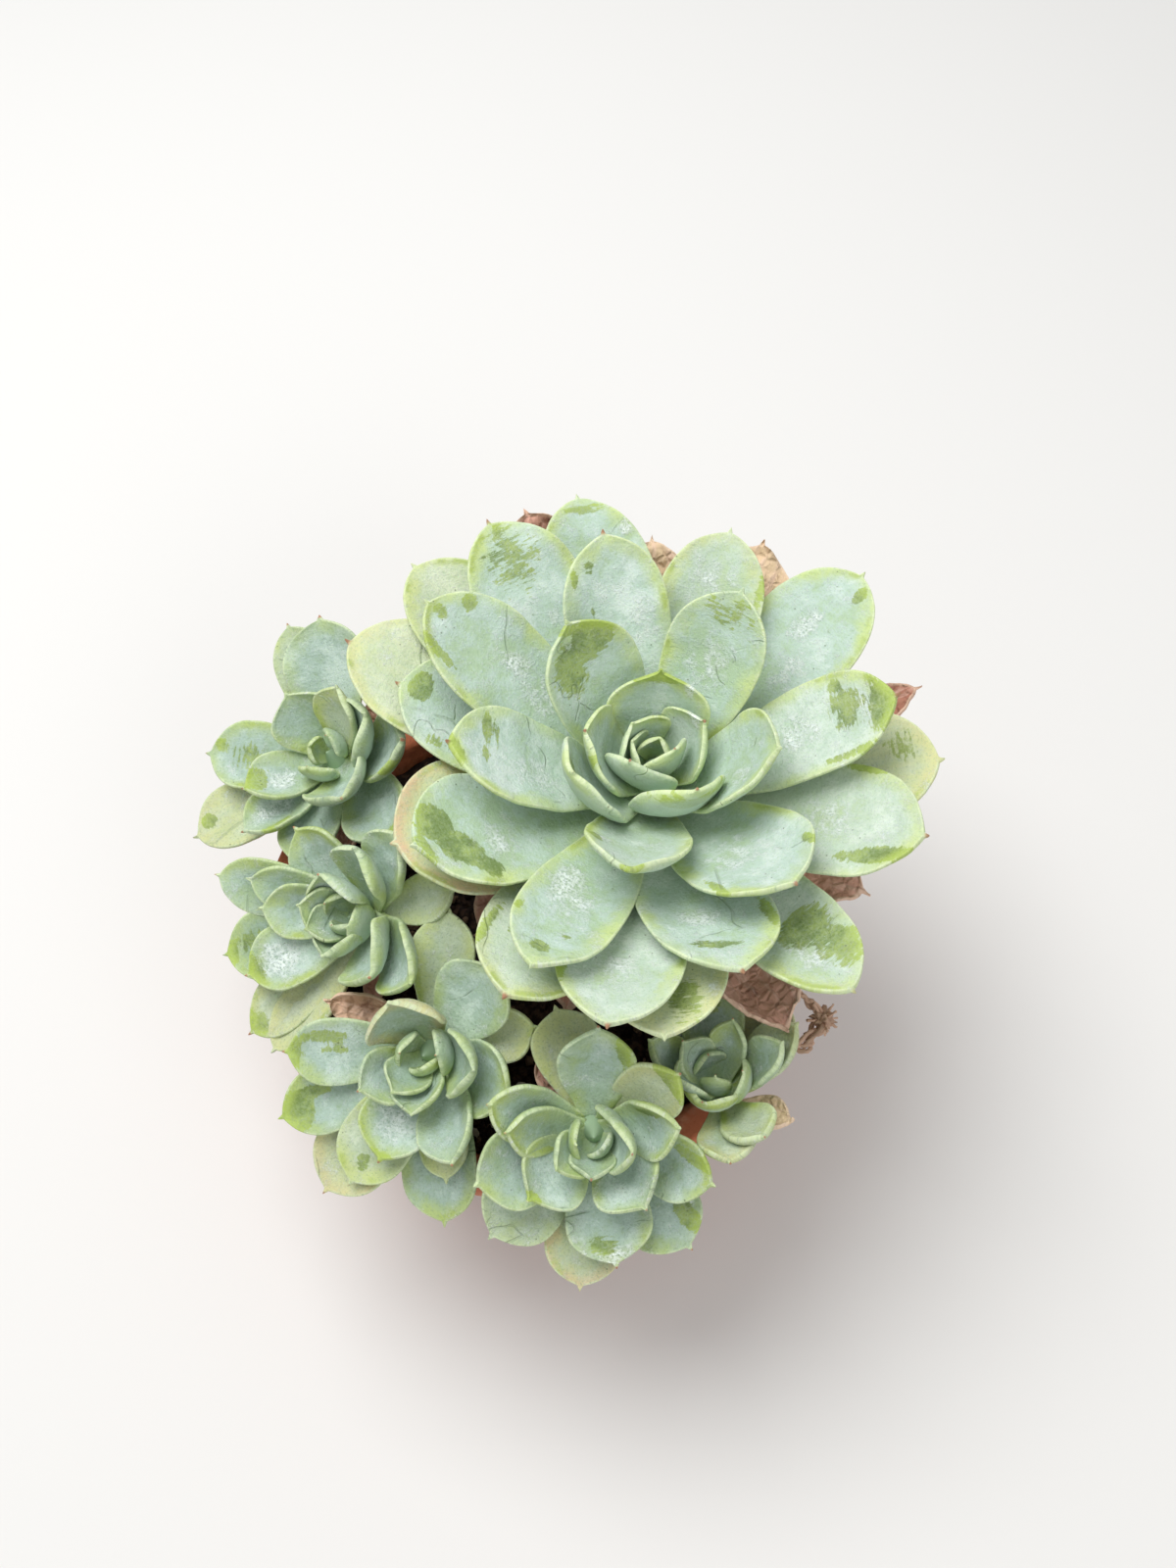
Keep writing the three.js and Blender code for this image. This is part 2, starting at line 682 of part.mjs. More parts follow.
const headLeaves = Object.entries(HEAD_HABITS).map(([k, habit]) =>
  leafSolid(withHabit(headLeaf(Number(k)), habit), HEAD_ROWS, FLESHY_SECTION)
);
const head = {
  root: HEAD_FOOT.slice(0, 2),
  bend: [HEAD_FOOT[0], HEAD_FOOT[1], SOIL_EDGE_HEIGHT],
  foot: HEAD_FOOT,
  lean: [0, 0],
  dry: HEAD_DRY_LEAVES.map(headDryLeaf),
};
addRosette("head", heartSolid(HEAD_HEART), headLeaves, head.foot, head.lean);
addStem("head", head, HEAD_HEART, HEAD_STEM_RADII, 12);

OFFSETS.forEach((offset, i) => {
  const name = `offset_${i + 1}`;
  const leaves = offset.leaves.map(offsetLeaf);
  for (let k = 1; k <= BUD_LEAVES; k += 1) leaves.push(budLeaf(k, leaves[0].direction));
  const blades = leaves.map((leaf) => leafSolid(leaf, OFFSET_ROWS, FLESHY_SECTION));
  addRosette(name, heartSolid(OFFSET_HEART), blades, offset.foot, offset.lean);
  addStem(name, { ...offset, dry: offset.dry.map(offsetDryLeaf) }, OFFSET_HEART, OFFSET_STEM_RADII, 8);
});

plant.add(meshFrom("old_flower_stalk", stalkSolid(), dryBrown));
const [[rootX, rootY, rootZ], ...stalkRest] = STALK_PATH;
const stalkHole = curveThrough([[rootX, rootY, rootZ - CLEARANCE], ...stalkRest]);
holes.push(holeSolid(stalkHole, STALK_RADII, 6));

const potted = new THREE.Group();
potted.add(meshFrom("pot", potSolid(), clay));
potted.add(meshFrom("soil", soilSolid(holes), earth));
potted.add(plant);

export default potted;
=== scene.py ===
# Potted glaucous echeveria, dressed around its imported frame, from the pot up to the light.
# The plant's own sizes are millimetres, as in the frame's source, and MM turns them into metres.
import math

import bpy
import numpy as np
from mathutils import Matrix, Vector


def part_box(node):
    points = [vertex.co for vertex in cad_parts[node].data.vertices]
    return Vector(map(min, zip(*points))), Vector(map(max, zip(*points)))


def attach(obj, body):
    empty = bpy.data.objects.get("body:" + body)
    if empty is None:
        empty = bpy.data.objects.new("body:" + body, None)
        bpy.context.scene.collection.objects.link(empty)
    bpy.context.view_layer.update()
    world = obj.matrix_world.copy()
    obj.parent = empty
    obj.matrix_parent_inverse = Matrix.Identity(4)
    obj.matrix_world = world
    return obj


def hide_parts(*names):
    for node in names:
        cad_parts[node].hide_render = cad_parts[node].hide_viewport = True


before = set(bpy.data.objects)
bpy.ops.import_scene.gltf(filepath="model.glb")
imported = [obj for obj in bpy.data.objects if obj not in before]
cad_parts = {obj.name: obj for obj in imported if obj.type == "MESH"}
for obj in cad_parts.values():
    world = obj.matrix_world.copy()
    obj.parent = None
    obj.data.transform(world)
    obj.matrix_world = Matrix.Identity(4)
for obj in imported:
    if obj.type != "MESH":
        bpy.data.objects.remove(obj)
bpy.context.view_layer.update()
MM = 0.001

# Clay pot
# Plain unglazed earthenware thrown on a wheel: a tapered wall, a thick collar to lift it by, and
# three drain holes cut through the floor. Water drying through the wall leaves pale salts on it.
pot_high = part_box("pot")[1]
POT_HEIGHT = pot_high.z / MM
COLLAR_RADIUS = pot_high.x / MM
COLLAR_HEIGHT = 20
COLLAR_TAPER = 2.5
COLLAR_STEP = 2.5
RIM_WIDTH = 8
POT_FLOOR = 8
POT_BASE_RADIUS = 52
POT_INNER_BASE_RADIUS = 46.5
DRAIN_RADIUS = 4.5
DRAIN_CIRCLE = 26
DRAIN_COUNT = 3
POT_SIDES = 144
POT_STEP = 1.1
CORNER_ROUND = 1.6
CORNER_SHARE = 0.45
THROWING_RIDGE = 0.12
THROWING_PITCH = 3.3
RIDGES_END_BEFORE = 3
DRAIN_SIDES = 32


def shade(red, green, blue):
    """A colour as it looks on paper, 0 to 255, turned into the amounts of light a finish takes."""
    parts = np.array([red, green, blue]) / 255
    light = np.where(parts <= 0.04045, parts / 12.92, ((parts + 0.055) / 1.055) ** 2.4)
    return (*light, 1.0)


class Finish:
    """A surface finish mixed step by step. Each step hands back a socket for the next one."""

    def __init__(self, name):
        self.material = bpy.data.materials.new(name)
        self.material.use_nodes = True
        self.nodes = self.material.node_tree.nodes
        self.links = self.material.node_tree.links
        self.shader = self.nodes["Principled BSDF"]

    def feed(self, socket, value):
        """Give a socket a number or a colour, or lead another socket into it."""
        if isinstance(value, bpy.types.NodeSocket):
            self.links.new(value, socket)
        else:
            socket.default_value = value

    def place(self):
        """The place on the piece itself, in metres."""
        return self.nodes.new("ShaderNodeTexCoord").outputs["Object"]

    def measured(self, name, output="Fac"):
        """A measure stored on the mesh."""
        node = self.nodes.new("ShaderNodeAttribute")
        node.attribute_name = name
        return node.outputs[output]

    def stretched(self, where, by):
        """A place scaled along each axis: below 1 draws a pattern out."""
        node = self.nodes.new("ShaderNodeMapping")
        self.feed(node.inputs["Vector"], where)
        node.inputs["Scale"].default_value = by
        return node.outputs["Vector"]

    def mottle(self, where, size, detail=3.0, roughness=0.55, warp=0.0):
        """Cloudy mottling whose blotches have about this size."""
        node = self.nodes.new("ShaderNodeTexNoise")
        self.feed(node.inputs["Vector"], where)
        node.inputs["Scale"].default_value = 1 / size
        node.inputs["Detail"].default_value = detail
        node.inputs["Roughness"].default_value = roughness
        node.inputs["Distortion"].default_value = warp
        return node.outputs["Fac"]

    def cells(self, where, size, feature="F1"):
        """Distances in a pattern of cells of about this size."""
        node = self.nodes.new("ShaderNodeTexVoronoi")
        node.feature = feature
        self.feed(node.inputs["Vector"], where)
        node.inputs["Scale"].default_value = 1 / size
        return node.outputs["Distance"]

    def sum(self, first, second, what="ADD"):
        """Two amounts added, or joined in the way that what names."""
        node = self.nodes.new("ShaderNodeMath")
        node.operation = what
        self.feed(node.inputs[0], first)
        self.feed(node.inputs[1], second)
        return node.outputs[0]

    def times(self, first, second):
        """Two amounts multiplied."""
        return self.sum(first, second, "MULTIPLY")

    def fade(self, value, start, end):
        """0 where the value is at its start and below, 1 at its end, smooth in between."""
        node = self.nodes.new("ShaderNodeMapRange")
        node.interpolation_type = "SMOOTHSTEP"
        self.feed(node.inputs["Value"], value)
        node.inputs["From Min"].default_value = start
        node.inputs["From Max"].default_value = end
        return node.outputs["Result"]

    def tint(self, first, second, amount):
        """The first colour turned towards the second by an amount."""
        node = self.nodes.new("ShaderNodeMix")
        node.data_type = "RGBA"
        self.feed(node.inputs["Factor"], amount)
        # The node has a pair of sockets for each kind of value, and the colours' own are these.
        self.feed(node.inputs[6], first)
        self.feed(node.inputs[7], second)
        return node.outputs[2]

    def finish(self, colour, roughness, height=None, depth=0.0, gloss=0.5):
        """Hand over the finished material, with its relief raised to this depth in metres."""
        self.feed(self.shader.inputs["Base Color"], colour)
        self.feed(self.shader.inputs["Roughness"], roughness)
        self.shader.inputs["Specular IOR Level"].default_value = gloss
        if height is not None:
            bump = self.nodes.new("ShaderNodeBump")
            bump.inputs["Distance"].default_value = depth
            self.feed(bump.inputs["Height"], height)
            self.links.new(bump.outputs["Normal"], self.shader.inputs["Normal"])
        return self.material


def make_piece(name, points, faces, finish, measures=None):
    """A smooth mesh of points in millimetres, with its finish and the measures that this reads."""
    mesh = bpy.data.meshes.new(name)
    mesh.from_pydata((np.asarray(points) * MM).tolist(), [], faces)
    mesh.polygons.foreach_set("use_smooth", [True] * len(mesh.polygons))
    mesh.materials.append(finish)
    for measure, values in (measures or {}).items():
        flat = np.ascontiguousarray(values, dtype=np.float32)
        kind = "FLOAT_VECTOR" if flat.ndim == 2 else "FLOAT"
        layer = mesh.attributes.new(measure, kind, "POINT")
        layer.data.foreach_set("vector" if flat.ndim == 2 else "value", flat.ravel())
    mesh.update()
    piece = bpy.data.objects.new(name, mesh)
    bpy.context.scene.collection.objects.link(piece)
    return piece


def rounded(corners, radius, steps=5):
    """A profile with each corner between its ends worn round."""
    corners = [np.array(corner, float) for corner in corners]
    profile = [corners[0]]
    for before, corner, after in zip(corners, corners[1:], corners[2:]):
        reach = [min(radius, CORNER_SHARE * np.linalg.norm(side - corner)) for side in (before, after)]
        start = corner + (before - corner) / np.linalg.norm(before - corner) * reach[0]
        end = corner + (after - corner) / np.linalg.norm(after - corner) * reach[1]
        for share in np.linspace(0, 1, steps):
            profile.append((1 - share) ** 2 * start + 2 * share * (1 - share) * corner + share ** 2 * end)
    profile.append(corners[-1])
    return np.array(profile)


def stepped(profile, step):
    """A profile with points added so that none lies further than a step from the next."""
    points = [profile[0]]
    for before, after in zip(profile, profile[1:]):
        count = max(1, math.ceil(np.linalg.norm(after - before) / step))
        points += [before + (after - before) * i / count for i in range(1, count + 1)]
    return np.array(points)


def tube_faces(rings, sides, start, end):
    """Faces of a tube of rings of points, closed by one point at its start and one at its end."""
    faces, last = [], (rings - 1) * sides
    for low in range(0, last, sides):
        for side in range(sides):
            after = (side + 1) % sides
            faces.append((low + side, low + after, low + sides + after, low + sides + side))
    for side in range(sides):
        after = (side + 1) % sides
        faces.append((start, after, side))
        faces.append((last + side, last + after, end))
    return faces


def turned(profile, sides):
    """Points and faces of a body turned round the upright axis, from one point on it to another."""
    angles = np.linspace(0, 2 * math.pi, sides, endpoint=False)
    rings = profile[1:-1]
    x = rings[:, :1] * np.cos(angles)
    y = rings[:, :1] * np.sin(angles)
    z = np.repeat(rings[:, 1:], sides, axis=1)
    points = np.stack([x, y, z], axis=-1).reshape(-1, 3)
    points = np.vstack([points, [0, 0, profile[0][1]], [0, 0, profile[-1][1]]])
    return points, tube_faces(len(rings), sides, len(points) - 2, len(points) - 1)


CLAY = shade(176, 98, 68)
PALE_CLAY = shade(196, 122, 88)
SALTS = shade(214, 176, 150)
CLAY_SPECK = shade(132, 74, 54)
CLAY_GRAIN = shade(160, 90, 64)


def clay_finish():
    """Fired clay: warm patches, pale salts, dark specks and a fine grain."""
    clay = Finish("unglazed_clay")
    where = clay.place()
    patches = clay.mottle(where, 0.03, detail=5)
    salts = clay.mottle(where, 0.018, detail=8, roughness=0.7, warp=0.4)
    grain = clay.mottle(where, 0.0012, detail=4)
    specks = clay.fade(clay.cells(where, 0.0035), 0.2, 0.06)
    colour = clay.tint(CLAY, PALE_CLAY, patches)
    colour = clay.tint(colour, SALTS, clay.times(clay.fade(salts, 0.52, 0.72), 0.6))
    colour = clay.tint(colour, CLAY_SPECK, clay.times(specks, 0.35))
    colour = clay.tint(colour, CLAY_GRAIN, clay.times(grain, 0.25))
    return clay.finish(colour, 0.88, height=clay.sum(grain, salts), depth=0.0003, gloss=0.25)


inner_radius = COLLAR_RADIUS - RIM_WIDTH
pot_corners = [
    (0, 0),
    (POT_BASE_RADIUS, 0),
    (COLLAR_RADIUS - COLLAR_TAPER - COLLAR_STEP, POT_HEIGHT - COLLAR_HEIGHT),
    (COLLAR_RADIUS - COLLAR_TAPER, POT_HEIGHT - COLLAR_HEIGHT),
    (COLLAR_RADIUS, POT_HEIGHT),
    (inner_radius, POT_HEIGHT),
    (POT_INNER_BASE_RADIUS, POT_FLOOR),
    (0, POT_FLOOR),
]
pot_profile = stepped(rounded(pot_corners, CORNER_ROUND), POT_STEP)
on_wall = np.abs(pot_profile[:, 1] - POT_HEIGHT / 2) < POT_HEIGHT / 2 - RIDGES_END_BEFORE
ridges = THROWING_RIDGE * np.sin(2 * math.pi * pot_profile[:, 1] / THROWING_PITCH)
pot_profile[:, 0] -= np.where(on_wall, ridges + THROWING_RIDGE, 0)
pot_piece = make_piece("clay_pot", *turned(pot_profile, POT_SIDES), clay_finish())

for hole in range(DRAIN_COUNT):
    angle = 2 * math.pi * hole / DRAIN_COUNT
    bore = [(0, -POT_FLOOR), (DRAIN_RADIUS, -POT_FLOOR), (DRAIN_RADIUS, 2 * POT_FLOOR), (0, 2 * POT_FLOOR)]
    points, faces = turned(np.array(bore, float), DRAIN_SIDES)
    points = points + [DRAIN_CIRCLE * math.cos(angle), DRAIN_CIRCLE * math.sin(angle), 0]
    cutter = make_piece("drain_cutter", points, faces, pot_piece.data.materials[0])
    cut = pot_piece.modifiers.new("drain", "BOOLEAN")
    cut.operation = "DIFFERENCE"
    cut.object = cutter
    drained = bpy.data.meshes.new_from_object(pot_piece.evaluated_get(bpy.context.evaluated_depsgraph_get()))
    pot_piece.modifiers.clear()
    pot_piece.data = drained
    bpy.data.objects.remove(cutter)
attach(pot_piece, "root")
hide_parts("pot")

# Soil
# Free-draining potting mix, filled to just under the rim: dark crumbs of compost with coarse sand
# and white perlite. It lies a little domed, up against the pot's wall and round every stem.
SOIL_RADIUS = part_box("soil")[1].x / MM
SOIL_EDGE_HEIGHT = 74
SOIL_DOME = 3.5
SOIL_ROUGHNESS = 0.7
SOIL_GAP_BELOW = 0.4
SOIL_GAP_BESIDE = 0.6
SOIL_RINGS = 64
SOIL_SIDES = 200
SOIL_SEED = 11
LUMP_SIZES = (4.2, 2.1)
FINE_LUMP_SHARE = 0.7
CALM_AT_WALL = 3
LUMPS_AT_WALL = 0.3
CRUMB_HEIGHT = 0.9
CRUMB_STRETCH = (0.7, 1.2)
CRUMB_DENTS = (0.8, 1.2)
CRUMB_RISE = 0.8
CRUMB_SCATTER = 0.4
CRUMB_COUNT = 1300
CRUMB_WALL_GAP = 2.5
COMPOST_SHARE = 0.88
COMPOST_SIZES = (0.5, 1.1)
GRIT_SIZES = (0.8, 1.7)


def ripple(points, size, seed, waves=7):
    """Smooth, repeatable unevenness between about -1 and 1 whose bumps have about this size."""
    draw = np.random.default_rng(seed)
    total = np.zeros(len(points))
    for wave in range(waves):
        way = draw.normal(size=points.shape[1])
        way /= np.linalg.norm(way)
        pitch = size * draw.uniform(0.7, 1.6)
        total += np.sin(2 * math.pi * (points @ way) / pitch + draw.uniform(0, 2 * math.pi))
    return total / math.sqrt(waves)


def soil_height(x, y):
    """The height of the soil's surface over a place, in millimetres."""
    radius = np.hypot(x, y)
    dome = SOIL_DOME * (1 - (radius / COLLAR_RADIUS) ** 2)
    lumps = np.sin(0.31 * x + 0.9) * np.cos(0.27 * y) + 0.6 * np.sin(0.52 * y + 0.4 * x)
    return SOIL_EDGE_HEIGHT + dome + SOIL_ROUGHNESS * lumps


DAMP_COMPOST = shade(46, 33, 26)
DRY_COMPOST = shade(72, 54, 41)
CRACK_SHADE = shade(30, 21, 17)
COARSE_SAND = shade(96, 78, 60)
PERLITE = shade(188, 182, 168)


def soil_finish():
    """Dark compost, with a colour of its own for each kind of crumb, and painted shade in the cracks between
    them.
    """
    soil = Finish("gritty_soil")
    where = soil.place()
    crumbs = soil.cells(where, 0.0022)
    damp = soil.mottle(where, 0.02, detail=4)
    kind = soil.measured("kind")
    colour = soil.tint(DAMP_COMPOST, DRY_COMPOST, damp)
    # Painted shade: the colour goes darker in the cracks between the crumbs.
    colour = soil.tint(colour, CRACK_SHADE, soil.fade(crumbs, 0.25, 0.6))
    colour = soil.tint(colour, COARSE_SAND, soil.fade(kind, 0.7, 0.75))
    colour = soil.tint(colour, PERLITE, soil.fade(kind, 0.95, 0.96))
    grain = soil.mottle(where, 0.0009, detail=4)
    return soil.finish(colour, 0.95, height=soil.sum(crumbs, grain), depth=0.0006, gloss=0.2)


soil_base = POT_FLOOR + SOIL_GAP_BELOW
soil_profile = [(0, soil_base), (POT_INNER_BASE_RADIUS - SOIL_GAP_BESIDE, soil_base)]
soil_profile += [(radius, SOIL_EDGE_HEIGHT) for radius in np.linspace(SOIL_RADIUS, 1, SOIL_RINGS)]
soil_points, soil_faces = turned(np.array(soil_profile + [(0, SOIL_EDGE_HEIGHT)], float), SOIL_SIDES)
on_top = soil_points[:, 2] > SOIL_EDGE_HEIGHT - 1
tops = soil_points[on_top]
crumbly = ripple(tops, LUMP_SIZES[0], SOIL_SEED)
crumbly += FINE_LUMP_SHARE * ripple(tops, LUMP_SIZES[1], SOIL_SEED + 1)
inside = np.clip((SOIL_RADIUS - np.hypot(tops[:, 0], tops[:, 1])) / CALM_AT_WALL, 0, 1)
calm = LUMPS_AT_WALL + (1 - LUMPS_AT_WALL) * inside
soil_points[on_top, 2] = soil_height(tops[:, 0], tops[:, 1]) + CRUMB_HEIGHT * crumbly * calm
crumb_kinds = [np.zeros(len(soil_points))]

# A crumb is a small ball of twenty faces, stretched and dented at random.
draw = np.random.default_rng(SOIL_SEED)
GOLDEN = (1 + math.sqrt(5)) / 2
ball = np.array([(0, y, z * GOLDEN) for y in (-1, 1) for z in (-1, 1)])
ball = np.vstack([ball, ball[:, [2, 0, 1]], ball[:, [1, 2, 0]]]) / math.hypot(1, GOLDEN)
ball_edge = 2 / math.hypot(1, GOLDEN)
corners = range(len(ball))
ball_faces = [
    (a, b, c) for a in corners for b in corners for c in corners
    if a < b and a < c
    and all(abs(np.linalg.norm(ball[p] - ball[q]) - ball_edge) < 0.01 for p, q in ((a, b), (b, c), (c, a)))
    and np.dot(np.cross(ball[b] - ball[a], ball[c] - ball[a]), ball[a]) > 0
]
crumb_points = [soil_points]
crumb_faces = list(soil_faces)
count = len(soil_points)
for _ in range(CRUMB_COUNT):
    reach = (SOIL_RADIUS - CRUMB_WALL_GAP) * math.sqrt(draw.random())
    angle = draw.uniform(0, 2 * math.pi)
    kind = draw.random()
    size = draw.uniform(*(COMPOST_SIZES if kind < COMPOST_SHARE else GRIT_SIZES))
    x, y = reach * math.cos(angle), reach * math.sin(angle)
    body = ball * size * draw.uniform(*CRUMB_STRETCH, size=(1, 3))
    body = body * draw.uniform(*CRUMB_DENTS, size=(len(ball), 1))
    height = soil_height(x, y) + CRUMB_HEIGHT * CRUMB_RISE + draw.uniform(0, CRUMB_SCATTER)
    crumb_points.append(body + [x, y, height])
    crumb_faces += [tuple(count + corner for corner in face) for face in ball_faces]
    crumb_kinds.append(np.full(len(ball), kind))
    count += len(ball)
soil_piece = make_piece("gritty_soil", np.vstack(crumb_points), crumb_faces, soil_finish(),
                        {"kind": np.concatenate(crumb_kinds)})
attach(soil_piece, "root")
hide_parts("soil")

# Leaves of the large rosette
# Fleshy, spoon-shaped leaves with a short point, covered in a blue-white waxy bloom that rubs off
# and leaves olive skin bare. They grow from one heart at the golden angle, the youngest upright.
HEAD_FOOT = (32, 22, 112)
HEAD_HEART = (10.5, 19)
GOLDEN_ANGLE = 137.5
HEAD_FIRST_DIRECTION = 27
FOOT_WIDTH = 0.36
WIDEST_AT = 0.66
FOOT_FLARE = 0.8
TIP_FULLNESS = 2.7
POINT_WIDTH = 0.17
POINT_OVERLAP = 0.06
FOOT_CUP = 0.45
FULL_CUP_AT = 0.6
CUP_START = 1.5
UPPER_SHARE = 0.3
TIP_THINNING = 0.3
LEAST_BELLY = 0.4
BELLY_WITH_WIDTH = 1.2
BELLY_BREADTH = 2.6
BELLY_SLOPE = 0.75
EDGE_THICKNESS = 0.8
EDGE_ROUND = 0.6
LEAF_WAVE = 0.28
LEAF_WAVE_SIZE = 17
FINE_WAVES_PER_WAVE = 2.7
FINE_WAVE_SHARE = 0.35
WAVE_IN_MIDDLE = 0.5
WAVE_RISE = 3
HEAD_FOOT_RADII = (1.5, 7)
HEAD_FOOT_RADIUS_STEP = 0.3
OLDEST_HEAD_LEAF = 36
LEAF_SEED = 29
PATTERN_SHIFT = 60.0
PATTERNS = 97
HEART_ROUND = 2
HEART_STEP = 1.5
HEART_SIDES = 32
FAR_FROM_EDGE = 9

# Every measure goes from the youngest leaf's to the oldest's: (youngest, oldest, reach, power).
HEAD_GROWTH = {
    "length": (0, 80, 14, 1.2),
    "width": (0, 34, 6.5, 1.05),
    "thickness": (0, 5.2, 8, 1),
    "lift": (90, 13, 15, 1.5),
    "curl": (28, 6, 9, 1),
    "cup": (58, 20, 9, 1),
    "foot_height": (14, 0, 12, 1),
    "point": (0, 1.6, 6, 1),
    "taper": (1.4, 0.62, 8, 1),
}

# How single leaves have grown out of the rule's place: turn, longer, wider, raised, more curled,
# more cupped, and how far they swerve sideways as a share of their length.
HEAD_HABITS = {
    1: (0, 10, 9, -2, 0, 40, 0),
    2: (32, 8, 6, -13, 0, 8, 0),
    3: (33, 6, 4, -3, 0, 6, -0.15),
    4: (-24, 4, 6, -8, 0, 4, 0),
    5: (6, 0, 2, -5, 12, -4, 0.2),
    6: (8, 0, 2, -12, 0, 8, 0),
    7: (-11, 2, 3, -11, 8, 4, 0),
    8: (22, 3, 1, -6, 18, 8, -0.14),
    9: (-2, -4, 2, 0, 0, 0, 0),
    10: (12, 2, 1, -2, 18, 8, -0.08),
    11: (15, 2, 2, -3, 0, 4, 0),
    12: (5, 4, 0, 0, 0, 0, 0),
    13: (13, 3, -2, -6, 0, 10, 0),
    14: (-8, 4, -3, 0, 0, 0, 0),
    15: (2, 5, -3, -6, 0, 0, 0),
    16: (20, 4, 2, -5, 0, 0, 0),
    17: (-2, 8, -3, 0, 0, 0, 0.03),
    18: (-4, 12, -6, -9, 0, 0, 0),
    19: (10, 4, -5, 0, 0, 0, 0),
    20: (7, 10, -3, 0, 0, 0, 0),
    21: (11, 1, -1, -3, 0, 0, -0.08),
    22: (-1, 3, -4, 0, 0, 0, 0),
    23: (1, -1, 1, 0, 0, 0, 0),
    24: (6, 1, 0, 0, 0, 0, 0.04),
    25: (0, 11, -1, 0, 0, 0, 0),
    26: (0, 5, -2, 0, 0, 0, 0),
    27: (-5, 5, -2, 0, 0, 0, 0),
    28: (13, -5, -1, 0, 0, 0, 0),
    29: (9, 4, -7, 0, 0, 8, 0),
    30: (-10, 8, -3, 0, 0, 0, -0.06),
    31: (-13, -2, 0, 0, 0, 0, 0),
    32: (6, -5, 0, 0, 0, 0, 0),
    33: (8, 9, -1, 0, 0, 0, -0.05),
    34: (10, -4, -1, 0, 0, 0, 0),
    36: (-4, -11, 7, 0, 0, 0, 0),
    41: (7, 7, 0, 0, 0, 0, 0),
}
